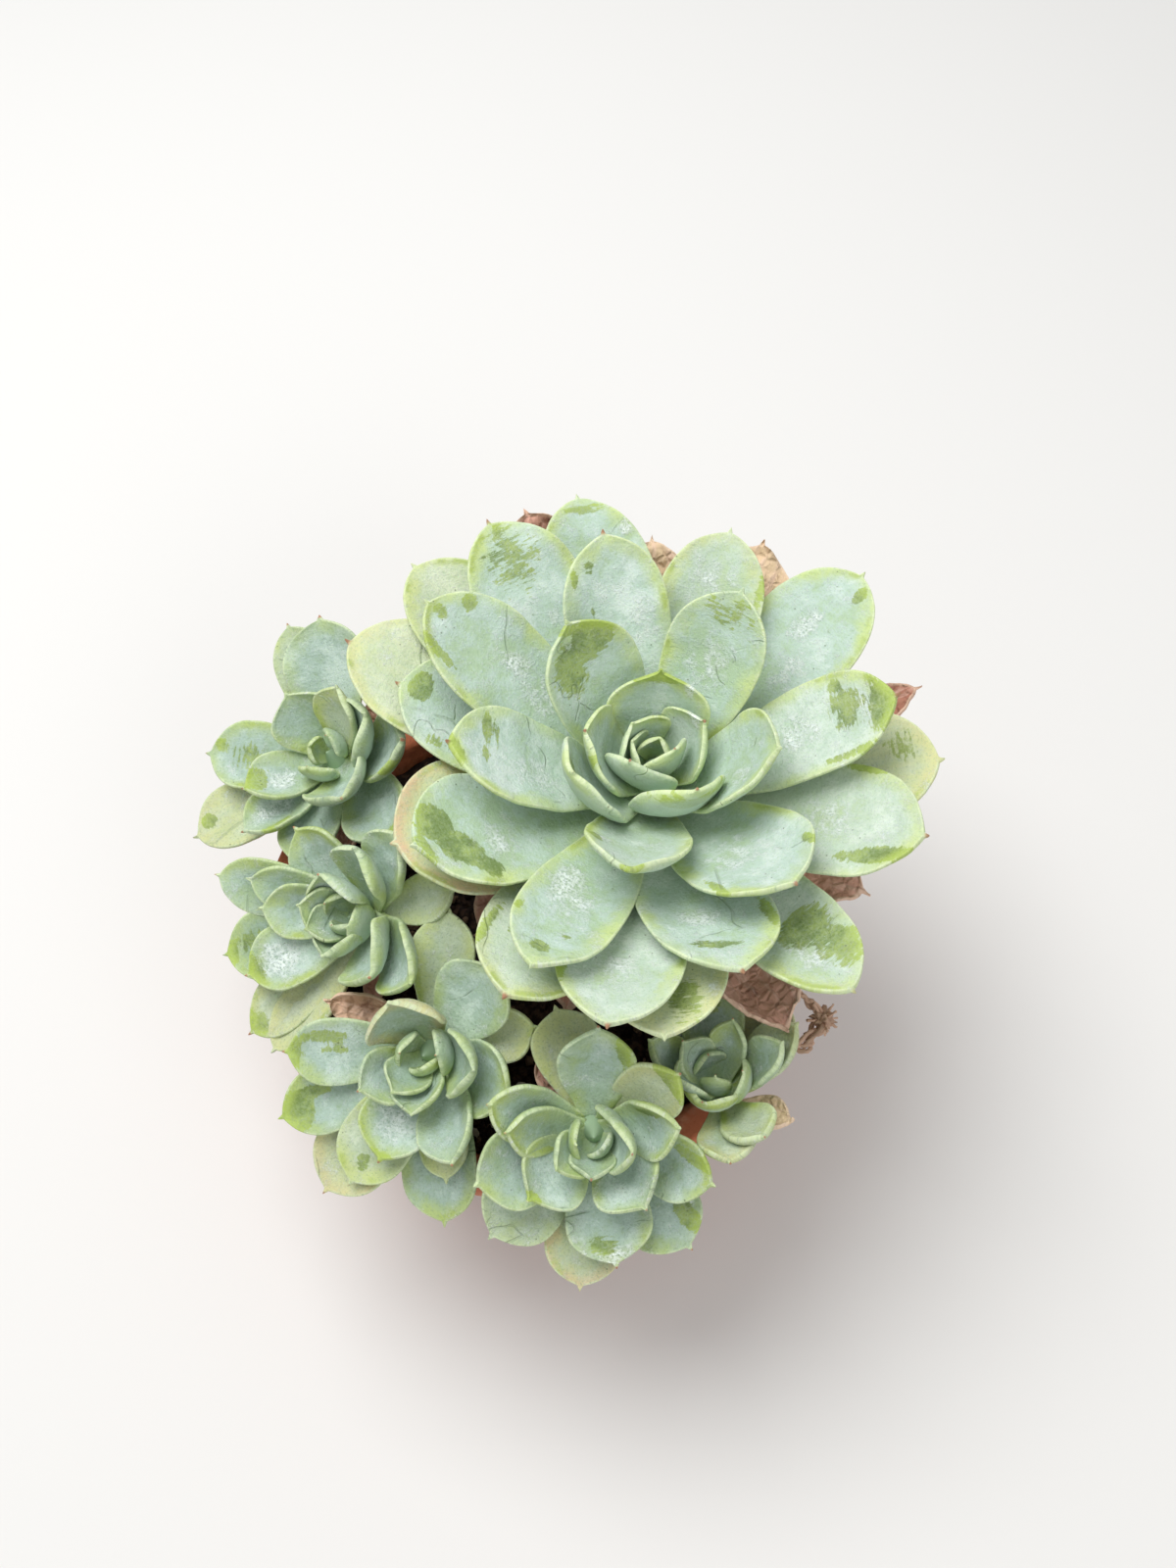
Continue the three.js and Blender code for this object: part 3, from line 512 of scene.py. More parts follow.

# Marks on single leaves: where the bloom is rubbed off, where chalky wax and dust have dried, and one painted
# shade on leaf 28.
# (kind, along, across, length, width, turn, strength): shares, millimetres, degrees, 1 for solid.
HEAD_MARKS = {
    6: [("chalk", 0.9, -0.5, 5, 6, 0, 0.9)],
    7: [("rubbed", 0.8, -0.6, 8, 4, 0, 0.8)],
    8: [("rubbed", 0.85, 0.0, 5, 20, 0, 0.5)],
    9: [("rubbed", 0.95, 0.1, 5, 24, 0, 0.9), ("chalk", 0.84, 0.75, 5, 4, 0, 0.9)],
    10: [("rubbed", 0.8, 0.2, 5, 12, 0, 0.6)],
    11: [("chalk", 0.7, 0.3, 8, 8, 0, 0.4)],
    12: [
        ("rubbed", 0.84, 0.3, 12, 17, -20, 1.15),
        ("rubbed", 0.75, -0.36, 15, 12, 12, 0.9),
        ("rubbed", 0.95, -0.4, 4, 14, 25, 0.7),
    ],
    13: [
        ("rubbed", 0.99, -0.1, 4, 26, 0, 1.3),
        ("rubbed", 0.72, 0.8, 6, 5, 0, 0.8),
        ("chalk", 0.68, 0.6, 5, 8, 0, 0.8),
    ],
    14: [("rubbed", 0.86, 0.0, 9, 16, 0, 0.3), ("chalk", 0.6, 0.0, 14, 12, 0, 0.35)],
    15: [
        ("rubbed", 0.79, 0.5, 3, 13, -6, 1.0),
        ("rubbed", 0.74, 0.45, 2, 9, -6, 0.7),
        ("rubbed", 0.8, -0.05, 2.5, 6, 0, 0.7),
        ("rubbed", 0.95, -0.4, 4, 12, -20, 0.8),
        ("chalk", 0.55, -0.2, 16, 10, 0, 0.5),
    ],
    16: [
        ("rubbed", 0.84, -0.88, 8, 3, 0, 1.0),
        ("rubbed", 0.78, 0.88, 12, 3, 0, 0.9),
        ("chalk", 0.6, 0.1, 16, 14, 0, 0.45),
    ],
    17: [
        ("rubbed", 0.83, -0.82, 6, 2.5, 0, 1.2),
        ("rubbed", 0.86, -0.5, 4, 3, 0, 0.7),
        ("rubbed", 0.66, -0.38, 10, 1.5, 0, 0.8),
        ("chalk", 0.62, 0.5, 12, 7, 0, 0.5),
    ],
    18: [
        ("chalk", 0.54, 0.42, 17, 9, 0, 1.0),
        ("chalk", 0.62, 0.0, 16, 12, 0, 0.5),
        ("rubbed", 0.89, 0.12, 5, 6, 0, 0.8),
        ("rubbed", 0.76, 0.9, 5, 2.5, 0, 0.9),
        ("rubbed", 0.8, -0.25, 3, 3, 0, 0.6),
    ],
    19: [
        ("rubbed", 0.93, 0.0, 9, 20, 8, 1.0),
        ("rubbed", 0.78, -0.2, 10, 14, 0, 0.6),
        ("rubbed", 0.76, -0.68, 4, 5, 0, 0.9),
        ("rubbed", 0.8, 0.9, 22, 3, 0, 0.6),
        ("chalk", 0.55, -0.1, 15, 11, 15, 0.8),
        ("chalk", 0.84, -0.1, 7, 10, 0, 0.6),
    ],
    20: [
        ("rubbed", 0.82, -0.72, 10, 3, 0, 1.1),
        ("rubbed", 0.93, 0.05, 5, 4, 0, 0.8),
        ("rubbed", 0.87, 0.7, 5, 6, 0, 0.8),
        ("rubbed", 0.9, -0.85, 12, 3, 0, 0.7),
        ("chalk", 0.6, 0.28, 10, 8, 0, 1.1),
        ("chalk", 0.45, 0.2, 12, 12, 0, 0.5),
    ],
    21: [
        ("rubbed", 0.83, 0.2, 3.5, 14, 12, 0.85),
        ("rubbed", 0.74, -0.88, 14, 3.5, 0, 0.9),
        ("chalk", 0.66, 0.15, 8, 12, 0, 0.9),
    ],
    22: [("chalk", 0.8, -0.1, 12, 12, 0, 0.35), ("rubbed", 0.8, 0.95, 16, 3, 0, 0.6)],
    23: [
        ("rubbed", 0.87, 0.38, 11, 12, -28, 1.6),
        ("rubbed", 0.81, -0.22, 11, 14, -34, 1.6),
        ("rubbed", 0.74, -0.66, 7, 8, -30, 1.3),
        ("rubbed", 0.95, -0.4, 4, 14, 0, 0.7),
        ("chalk", 0.64, -0.2, 7, 13, 0, 0.8),
    ],
    24: [
        ("rubbed", 0.85, 0.62, 24, 6, -14, 1.2),
        ("rubbed", 0.72, -0.95, 14, 2.5, 0, 0.9),
        ("chalk", 0.6, 0.0, 16, 12, 0, 0.4),
    ],
    25: [
        ("rubbed", 0.84, 0.0, 16, 17, 0, 0.36),
        ("rubbed", 0.95, 0.08, 3, 3, 0, 1.1),
        ("chalk", 0.6, 0.2, 8, 5, 0, 0.7),
    ],
    26: [("rubbed", 0.8, 0.92, 10, 3, 0, 0.8), ("chalk", 0.75, 0.0, 14, 14, 0, 0.35)],
    27: [
        ("rubbed", 0.92, 0.42, 6, 4, 0, 1.2),
        ("chalk", 0.72, -0.15, 12, 9, 0, 0.8),
        ("chalk", 0.55, 0.2, 12, 10, 0, 0.4),
    ],
    # Leaf 28's second mark, near its edge, is painted shade drawn as a rubbed patch.
    28: [("rubbed", 0.9, 0.15, 7, 10, 0, 1.6), ("rubbed", 0.76, -0.75, 8, 4, 0, 0.5)],
    29: [
        ("rubbed", 0.7, -0.25, 13, 16, 0, 1.3),
        ("rubbed", 0.84, -0.55, 14, 12, 0, 0.8),
        ("chalk", 0.8, 0.1, 14, 8, 0, 0.6),
    ],
    30: [("rubbed", 0.94, 0.0, 3, 14, 0, 0.5), ("chalk", 0.85, 0.85, 6, 4, 0, 0.9)],
    31: [("rubbed", 0.7, 0.5, 9, 3, 0, 0.9), ("rubbed", 0.8, 0.9, 20, 3, 0, 0.7)],
    32: [("rubbed", 0.85, -0.4, 9, 9, 0, 0.4)],
    34: [("rubbed", 0.85, -0.4, 14, 9, 0, 0.6), ("chalk", 0.8, -0.8, 9, 3, 0, 0.6)],
}

# Leaves that are fading: how yellow, and how pink along the margin.
HEAD_FADING = {
    13: (0.1, 0.0),
    19: (0.12, 0.0),
    22: (0.2, 0.1),
    24: (0.2, 0.0),
    26: (0.15, 0.0),
    29: (0.15, 0.0),
    31: (0.3, 0.1),
    32: (0.75, 0.2),
    33: (0.5, 0.0),
    34: (0.75, 0.1),
    36: (0.9, 0.8),
    41: (0.6, 0.15),
}


def grown(table, age):
    """The measures of a leaf of a given age, from a growth table."""
    return {
        name: old + (young - old) * math.exp(-((age / reach) ** power))
        for name, (young, old, reach, power) in table.items()
    }


def head_leaf(number):
    """The measures of one leaf of the large rosette, the youngest being number 1."""
    leaf = grown(HEAD_GROWTH, number)
    turn, longer, wider, raised, curled, cupped, swerve = HEAD_HABITS[number]
    leaf["direction"] = HEAD_FIRST_DIRECTION - GOLDEN_ANGLE * (number - 1) + turn
    leaf["foot_radius"] = np.clip(HEAD_FOOT_RADIUS_STEP * number, *HEAD_FOOT_RADII)
    leaf["length"] += longer
    leaf["width"] += wider
    leaf["lift"] += raised
    leaf["curl"] += curled
    leaf["cup"] += cupped
    leaf["swerve"] = swerve
    leaf["age"] = min(1, number / OLDEST_HEAD_LEAF)
    leaf["yellow"], leaf["blush"] = HEAD_FADING.get(number, (0.0, 0.0))
    leaf["marks"] = HEAD_MARKS.get(number, [])
    return leaf


def half_width(along, leaf):
    """Half the width of a leaf along its length: narrow foot, round end, short point."""
    blade = 1 - leaf["point"] / leaf["length"]
    x = np.clip(along / blade / WIDEST_AT, 0, 1)
    foot = FOOT_WIDTH + (1 - FOOT_WIDTH) * (x * x * (3 - 2 * x)) ** FOOT_FLARE
    y = np.clip((along / blade - WIDEST_AT) / (1 - WIDEST_AT), 0, 1)
    body = np.where(x < 1, foot, (1 - y ** TIP_FULLNESS) ** leaf["taper"])
    neck = blade - POINT_OVERLAP
    point = POINT_WIDTH * np.clip(1 - (along - neck) / (1 - neck), 0, 1)
    return leaf["width"] / 2 * np.hypot(body, point)


def leaf_shape(leaf, along, across, face, seed):
    """Points of a leaf, and the same points laid flat: along from foot to tip, across from edge to
    edge, face 1 above and -1 below."""
    start = math.radians(leaf["lift"] - leaf["curl"])
    turn = math.radians(2 * leaf["curl"]) or 1e-4
    angle = start + turn * along
    out = leaf["foot_radius"] + leaf["length"] / turn * (np.sin(angle) - math.sin(start))
    height = leaf["foot_height"] - leaf["length"] / turn * (np.cos(angle) - math.cos(start))
    half = half_width(along, leaf)
    cup = FOOT_CUP + (1 - FOOT_CUP) * np.minimum(1, along / FULL_CUP_AT) ** CUP_START
    cup = math.radians(leaf["cup"]) * cup
    worn = np.clip((np.abs(across) * half - half + EDGE_ROUND) / EDGE_ROUND, 0, 1)
    edge = np.sqrt(np.maximum(0, 1 - worn ** 2))
    if leaf.get("sheet"):
        thickness = leaf["thickness"] * edge
    else:
        belly = LEAST_BELLY + BELLY_WITH_WIDTH * half / leaf["width"]
        belly = leaf["thickness"] * belly * (1 - TIP_THINNING * along)
        profile = (1 - np.abs(across) ** BELLY_BREADTH) ** BELLY_SLOPE
        thickness = (EDGE_THICKNESS + np.maximum(0, belly - EDGE_THICKNESS) * profile) * edge
    off = (UPPER_SHARE - 0.5 + 0.5 * face) * thickness
    swerve = leaf["swerve"] * leaf["length"] * along * along
    flat = np.stack(np.broadcast_arrays(across * half, along * leaf["length"]), axis=-1)
    size = leaf.get("wave_size", LEAF_WAVE_SIZE)
    rough = ripple(flat.reshape(-1, 2), size, seed).reshape(flat.shape[:2])
    fine = ripple(flat.reshape(-1, 2), size / FINE_WAVES_PER_WAVE, seed + 1).reshape(flat.shape[:2])
    wave = rough * (WAVE_IN_MIDDLE + across ** 2) + FINE_WAVE_SHARE * fine
    wave = leaf.get("wave", LEAF_WAVE) * np.minimum(1, WAVE_RISE * along) * wave
    side = half * np.sin(cup * across) / cup + swerve - np.sin(cup * across) * off
    rise = half * (1 - np.cos(cup * across)) / cup + np.cos(cup * across) * off + wave
    out = out - rise * np.sin(angle)
    height = height + rise * np.cos(angle)
    compass = math.radians(leaf["direction"])
    x = out * math.sin(compass) + side * math.cos(compass)
    y = out * math.cos(compass) - side * math.sin(compass)
    return np.stack(np.broadcast_arrays(x, y, height), axis=-1), flat


def margin_distance(flat, outline):
    """How far points of the flattened leaf lie from its outline, in millimetres."""
    start, end = outline[:-1], outline[1:]
    step = end - start
    reach = flat[:, None, :] - start
    share = np.clip((reach * step).sum(-1) / np.maximum((step ** 2).sum(-1), 1e-9), 0, 1)
    return np.linalg.norm(reach - share[..., None] * step, axis=-1).min(axis=1)


def mark_strength(leaf, kind, flat):
    """How strongly the marks of one kind cover each point: 1 or more in a solid mark's middle."""
    total = np.full(len(flat), -1.0)
    for mark, along, across, length, width, turn, strength in leaf["marks"]:
        if mark != kind:
            continue
        centre = [across * half_width(np.array(along), leaf), along * leaf["length"]]
        x, y = (flat - centre).T
        cos, sin = math.cos(math.radians(turn)), math.sin(math.radians(turn))
        lengthwise, crosswise = (y * cos + x * sin) / (length / 2), (x * cos - y * sin) / (width / 2)
        total = np.maximum(total, strength * (1 - np.hypot(lengthwise, crosswise) ** 2))
    return total


def leaf_mesh(leaf, rows, columns, seed):
    """Points, faces and surface measures of one closed leaf."""
    blade = 1 - leaf["point"] / leaf["length"]
    foot = np.linspace(0, WIDEST_AT * blade, rows // 3, endpoint=False)
    end = blade * (WIDEST_AT + (1 - WIDEST_AT) * np.sin(np.linspace(0, math.pi / 2, rows // 2)))
    point = np.linspace(blade, 1, rows // 6 + 1)[1:-1]
    along = np.concatenate([foot, end, point])[:, None]
    turn = np.linspace(0, 2 * math.pi, 2 * columns, endpoint=False)
    across = -np.cos(turn)[None, :]
    face = np.where(turn < math.pi, 1.0, -1.0)[None, :]
    body, flat = leaf_shape(leaf, along, across, face, seed)
    middle = np.zeros((1, 1))
    tip, tip_flat = leaf_shape(leaf, middle + 1, middle, middle, seed)
    root, root_flat = leaf_shape(leaf, middle, middle, middle, seed)
    points = np.vstack([body.reshape(-1, 3), tip.reshape(1, 3), root.reshape(1, 3)])
    flat = np.vstack([flat.reshape(-1, 2), tip_flat.reshape(1, 2), root_flat.reshape(1, 2)])
    faces = tube_faces(len(along), 2 * columns, len(points) - 1, len(points) - 2)
    edge_rows = np.concatenate([along[:, 0], [1.0]])
    halves = half_width(edge_rows, leaf)
    right = np.stack([halves, edge_rows * leaf["length"]], axis=-1)
    outline = np.vstack([right * [-1, 1], right[::-1]])
    draw = np.random.default_rng(seed)
    blade_place = np.column_stack([flat, np.full(len(flat), PATTERN_SHIFT * (seed % PATTERNS))])
    measures = {
        "edge": margin_distance(flat, outline),
        "reach": np.clip(flat[:, 1] / leaf["length"], 0, 1),
        "under": np.concatenate([np.repeat(face < 0, len(along), axis=0).ravel(), [False, True]]) * 1.0,
        "rubbed": mark_strength(leaf, "rubbed", flat),
        "chalk": mark_strength(leaf, "chalk", flat),
        "blade": blade_place,
    }
    for name, value in (("age", leaf["age"]), ("yellow", leaf["yellow"]), ("blush", leaf["blush"]),
                        ("luck", draw.random())):
        measures[name] = np.full(len(points), value)
    return points, faces, measures


def joined(parts):
    """One mesh out of several, each given as points, faces and measures."""
    points, faces, measures, count = [], [], {}, 0
    for part_points, part_faces, part_measures in parts:
        points.append(part_points)
        faces += [tuple(count + corner for corner in face) for face in part_faces]
        for name, values in part_measures.items():
            measures.setdefault(name, []).append(values)
        count += len(part_points)
    return np.vstack(points), faces, {name: np.concatenate(rows) for name, rows in measures.items()}


def blank_measures(points, like):
    """A nought at each point for every measure that another piece has."""
    return {name: np.zeros((len(points),) + values.shape[1:]) for name, values in like.items()}


def heart_mesh(radius, height, like):
    """The fleshy heart that the leaves grow from, hidden under the youngest ones."""
    corners = [(0, -0.25), (0.8, -0.25), (1, 0.05), (0.62, 0.45), (0.28, 0.75), (0.1, 0.93), (0, 1)]
    corners = [(radius * across, height * up) for across, up in corners]
    points, faces = turned(stepped(rounded(corners, HEART_ROUND), HEART_STEP), HEART_SIDES)
    fill = blank_measures(points, like)
    fill["edge"] += FAR_FROM_EDGE
    fill["rubbed"] -= 1
    fill["chalk"] -= 1
    return points, faces, fill


def planted(points, foot, lean=(0, 0)):
    """Points of a rosette in its own frame, leaned by an angle to a direction and set on its foot."""
    angle, direction = np.radians(lean)
    turn = np.array(Matrix.Rotation(angle, 3, Vector((-math.cos(direction), math.sin(direction), 0))))
    return points @ turn.T + foot


FOOT_GREEN = shade(170, 198, 152)
FADED_YELLOW = shade(222, 222, 158)
BLUSH_PINK = shade(230, 186, 158)
LIME_MARGIN = shade(170, 188, 92)
CHALK_WHITE = shade(238, 247, 242)
BARE_SKIN = shade(108, 130, 56)
PALE_BARE_SKIN = shade(154, 174, 82)
BARE_SKIN_EDGE = shade(168, 190, 82)
CREASE_GREEN = shade(136, 156, 124)
SPECK_GREEN = shade(88, 98, 70)
DRY_POINT = shade(178, 132, 104)
UNDERSIDE = shade(188, 206, 188)


def leaf_finish(name, bloom, pale_bloom, thin_bloom, deep, margin, rim_and_highlight):
    """Fleshy leaf: powdery bloom over green skin, thin at the margins and rubbed off in places."""
    leaf = Finish(name)
    blade = leaf.stretched(leaf.measured("blade", "Vector"), (MM, MM, MM))
    age, luck, edge = leaf.measured("age"), leaf.measured("luck"), leaf.measured("edge")
    under, yellow, blush = leaf.measured("under"), leaf.measured("yellow"), leaf.measured("blush")
    clouds = leaf.mottle(blade, 0.013, detail=5, roughness=0.62)
    powder = leaf.mottle(blade, 0.0034, detail=7, roughness=0.75)
    grain = leaf.mottle(blade, 0.0008, detail=3, roughness=0.75)
    streaks = leaf.mottle(leaf.stretched(blade, (0.2, 1.0, 1.0)), 0.0009, detail=4, roughness=0.7)
    stretches = leaf.mottle(blade, 0.019, detail=3, roughness=0.6)
    uneven = leaf.times(leaf.sum(powder, 0.5, "SUBTRACT"), 0.9)

    wash = leaf.sum(leaf.sum(clouds, leaf.times(leaf.sum(luck, 0.5, "SUBTRACT"), 0.18)), uneven)
    colour = leaf.tint(bloom, pale_bloom, leaf.fade(wash, 0.48, 0.74))
    colour = leaf.tint(colour, thin_bloom, leaf.times(leaf.fade(wash, 0.52, 0.26), 0.9))
    colour = leaf.tint(colour, deep, leaf.times(leaf.fade(age, 0.4, 0.05), 0.45))
    foot_green = leaf.times(leaf.fade(leaf.measured("reach"), 0.6, 0.2), 0.35)
    colour = leaf.tint(colour, FOOT_GREEN, foot_green)

    drift = leaf.sum(edge, leaf.times(leaf.sum(clouds, 0.5, "SUBTRACT"), 10.0))
    drift = leaf.sum(drift, leaf.times(uneven, 4.0))
    broken = leaf.sum(leaf.times(leaf.fade(stretches, 0.36, 0.6), 0.6), 0.3)
    colour = leaf.tint(colour, margin, leaf.times(leaf.fade(drift, 5.2, 0.2), broken))
    lengthwise = leaf.mottle(leaf.stretched(blade, (1.0, 0.14, 1.0)), 0.0026, detail=4, roughness=0.65)
    faded = leaf.sum(leaf.times(lengthwise, 0.9), 0.28)
    colour = leaf.tint(colour, FADED_YELLOW, leaf.times(yellow, faded))
    blushed = leaf.times(leaf.fade(drift, 4.6, 0.6), faded)
    colour = leaf.tint(colour, BLUSH_PINK, leaf.times(blush, blushed))
    bare = leaf.sum(stretches, leaf.times(uneven, 0.35))
    bare = leaf.times(leaf.fade(bare, 0.56, 0.64), leaf.fade(leaf.sum(edge, uneven), 2.6, 1.0))
    colour = leaf.tint(colour, LIME_MARGIN, leaf.times(bare, 0.75))
    # A pale line along the very edge: partly the leaf's own pale margin, partly a painted highlight where
    # light catches the thick edge.
    line = leaf.times(leaf.fade(edge, 0.6, 0.1), leaf.sum(leaf.times(leaf.fade(powder, 0.4, 0.6), 0.7), 0.15))
    colour = leaf.tint(colour, rim_and_highlight, line)

    colour = leaf.tint(colour, deep, leaf.times(leaf.fade(grain, 0.5, 0.3), 0.5))
    frost = leaf.times(leaf.fade(grain, 0.55, 0.72), leaf.fade(powder, 0.42, 0.62))
    dust = leaf.fade(leaf.mottle(blade, 0.007, detail=8, roughness=0.85), 0.52, 0.68)
    dust = leaf.times(dust, leaf.sum(leaf.times(leaf.fade(grain, 0.42, 0.56), 0.6), 0.15))
    chalk = leaf.sum(leaf.measured("chalk"), leaf.times(uneven, 4.6))
    chalk = leaf.times(leaf.fade(chalk, -0.15, 0.95), leaf.fade(grain, 0.36, 0.52))
    white = leaf.sum(leaf.times(chalk, 0.85), leaf.sum(dust, leaf.times(frost, 0.5)), "MAXIMUM")
    colour = leaf.tint(colour, CHALK_WHITE, white)

    brushed = leaf.sum(leaf.times(leaf.sum(streaks, 0.5, "SUBTRACT"), 2.2), leaf.times(uneven, 2.4))
    rub = leaf.fade(leaf.sum(leaf.measured("rubbed"), brushed), 0.04, 0.34)
    skin = leaf.tint(BARE_SKIN, PALE_BARE_SKIN, leaf.fade(leaf.sum(clouds, uneven), 0.36, 0.62))
    skin = leaf.tint(skin, BARE_SKIN_EDGE, leaf.fade(edge, 3.6, 0.8))
    scoured = leaf.sum(leaf.times(leaf.fade(grain, 0.6, 0.4), 0.2), 0.7)
    colour = leaf.tint(colour, skin, leaf.times(rub, scoured))

    warped = leaf.mottle(blade, 0.02, detail=2)
    bent = leaf.nodes.new("ShaderNodeVectorMath")
    leaf.feed(bent.inputs[0], blade)
    leaf.feed(bent.inputs[1], leaf.times(warped, 0.03))
    creases = leaf.cells(bent.outputs[0], 0.034, "DISTANCE_TO_EDGE")
    creased = leaf.times(leaf.fade(creases, 0.012, 0.002), leaf.fade(stretches, 0.46, 0.38))
    colour = leaf.tint(colour, CREASE_GREEN, leaf.times(creased, 0.28))
    specks = leaf.times(leaf.fade(leaf.cells(blade, 0.0026), 0.11, 0.06), leaf.fade(clouds, 0.5, 0.58))
    colour = leaf.tint(colour, SPECK_GREEN, leaf.times(specks, 0.7))
    tip = leaf.fade(leaf.sum(leaf.measured("reach"), leaf.times(luck, 0.016)), 0.985, 1.002)
    colour = leaf.tint(colour, DRY_POINT, leaf.times(tip, leaf.fade(luck, 0.35, 0.6)))
    below = leaf.times(leaf.fade(edge, 1.2, 3.0), leaf.times(under, 0.6))
    colour = leaf.tint(colour, UNDERSIDE, below)

    roughness = leaf.sum(0.6, leaf.times(rub, -0.2))
    height = leaf.sum(leaf.times(grain, 0.4), leaf.times(powder, 0.9))
    height = leaf.sum(height, leaf.times(white, 0.3))
    height = leaf.sum(height, leaf.times(creased, -0.5))
    finish = leaf.finish(colour, roughness, height=height, depth=0.0005, gloss=0.36)
    leaf.shader.inputs["Subsurface Weight"].default_value = 0.08
    leaf.shader.inputs["Subsurface Scale"].default_value = 0.002
    leaf.shader.inputs["Subsurface Radius"].default_value = (0.8, 1.0, 0.4)
    return finish


HEAD_LEAF_ROWS = 48
HEAD_LEAF_COLUMNS = 22
head_leaves = [
    leaf_mesh(head_leaf(k), HEAD_LEAF_ROWS, HEAD_LEAF_COLUMNS, LEAF_SEED * k) for k in HEAD_HABITS
]
head_parts = head_leaves + [heart_mesh(*HEAD_HEART, head_leaves[0][2])]
points, faces, measures = joined(head_parts)
# The last colour is the edge line: the leaf's pale rim, partly painted highlight.
head_skin = leaf_finish("glaucous_leaf", shade(190, 211, 197), shade(215, 229, 220), shade(174, 198, 160),
                        shade(152, 178, 148), shade(202, 218, 144), shade(222, 234, 190))
head_piece = make_piece("rosette_head_leaves", planted(points, HEAD_FOOT), faces, head_skin, measures)
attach(head_piece, "root")
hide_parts("rosette_head")

# Offset rosettes
# Five young rosettes on stems of their own, crowding round the large one's left and front. Each
# leans out to the light, and grows as the large one does, with closed leaves in the middle.
OFFSET_HEART = (5.2, 9)
BUD_LEAVES = 3
FOLD_CURL = 16
FOLD_CUP = 26
OFFSET_FOOT_RADIUS = 4
OFFSET_FOOT_RADIUS_STEP = 0.16
OLDEST_OFFSET_RANK = 30
OFFSET_LEAF_ROWS = 36
OFFSET_LEAF_COLUMNS = 16
SEEDS_PER_OFFSET = 40
OFFSET_GROWTH = {
    "thickness": (0, 4.2, 9, 1),
    "curl": (24, 6, 9, 1),
    "cup": (80, 26, 12, 1),
    "foot_height": (7, 0, 14, 1),
    "point": (0, 1.5, 8, 1),
    "taper": (1.3, 0.75, 12, 1),
}

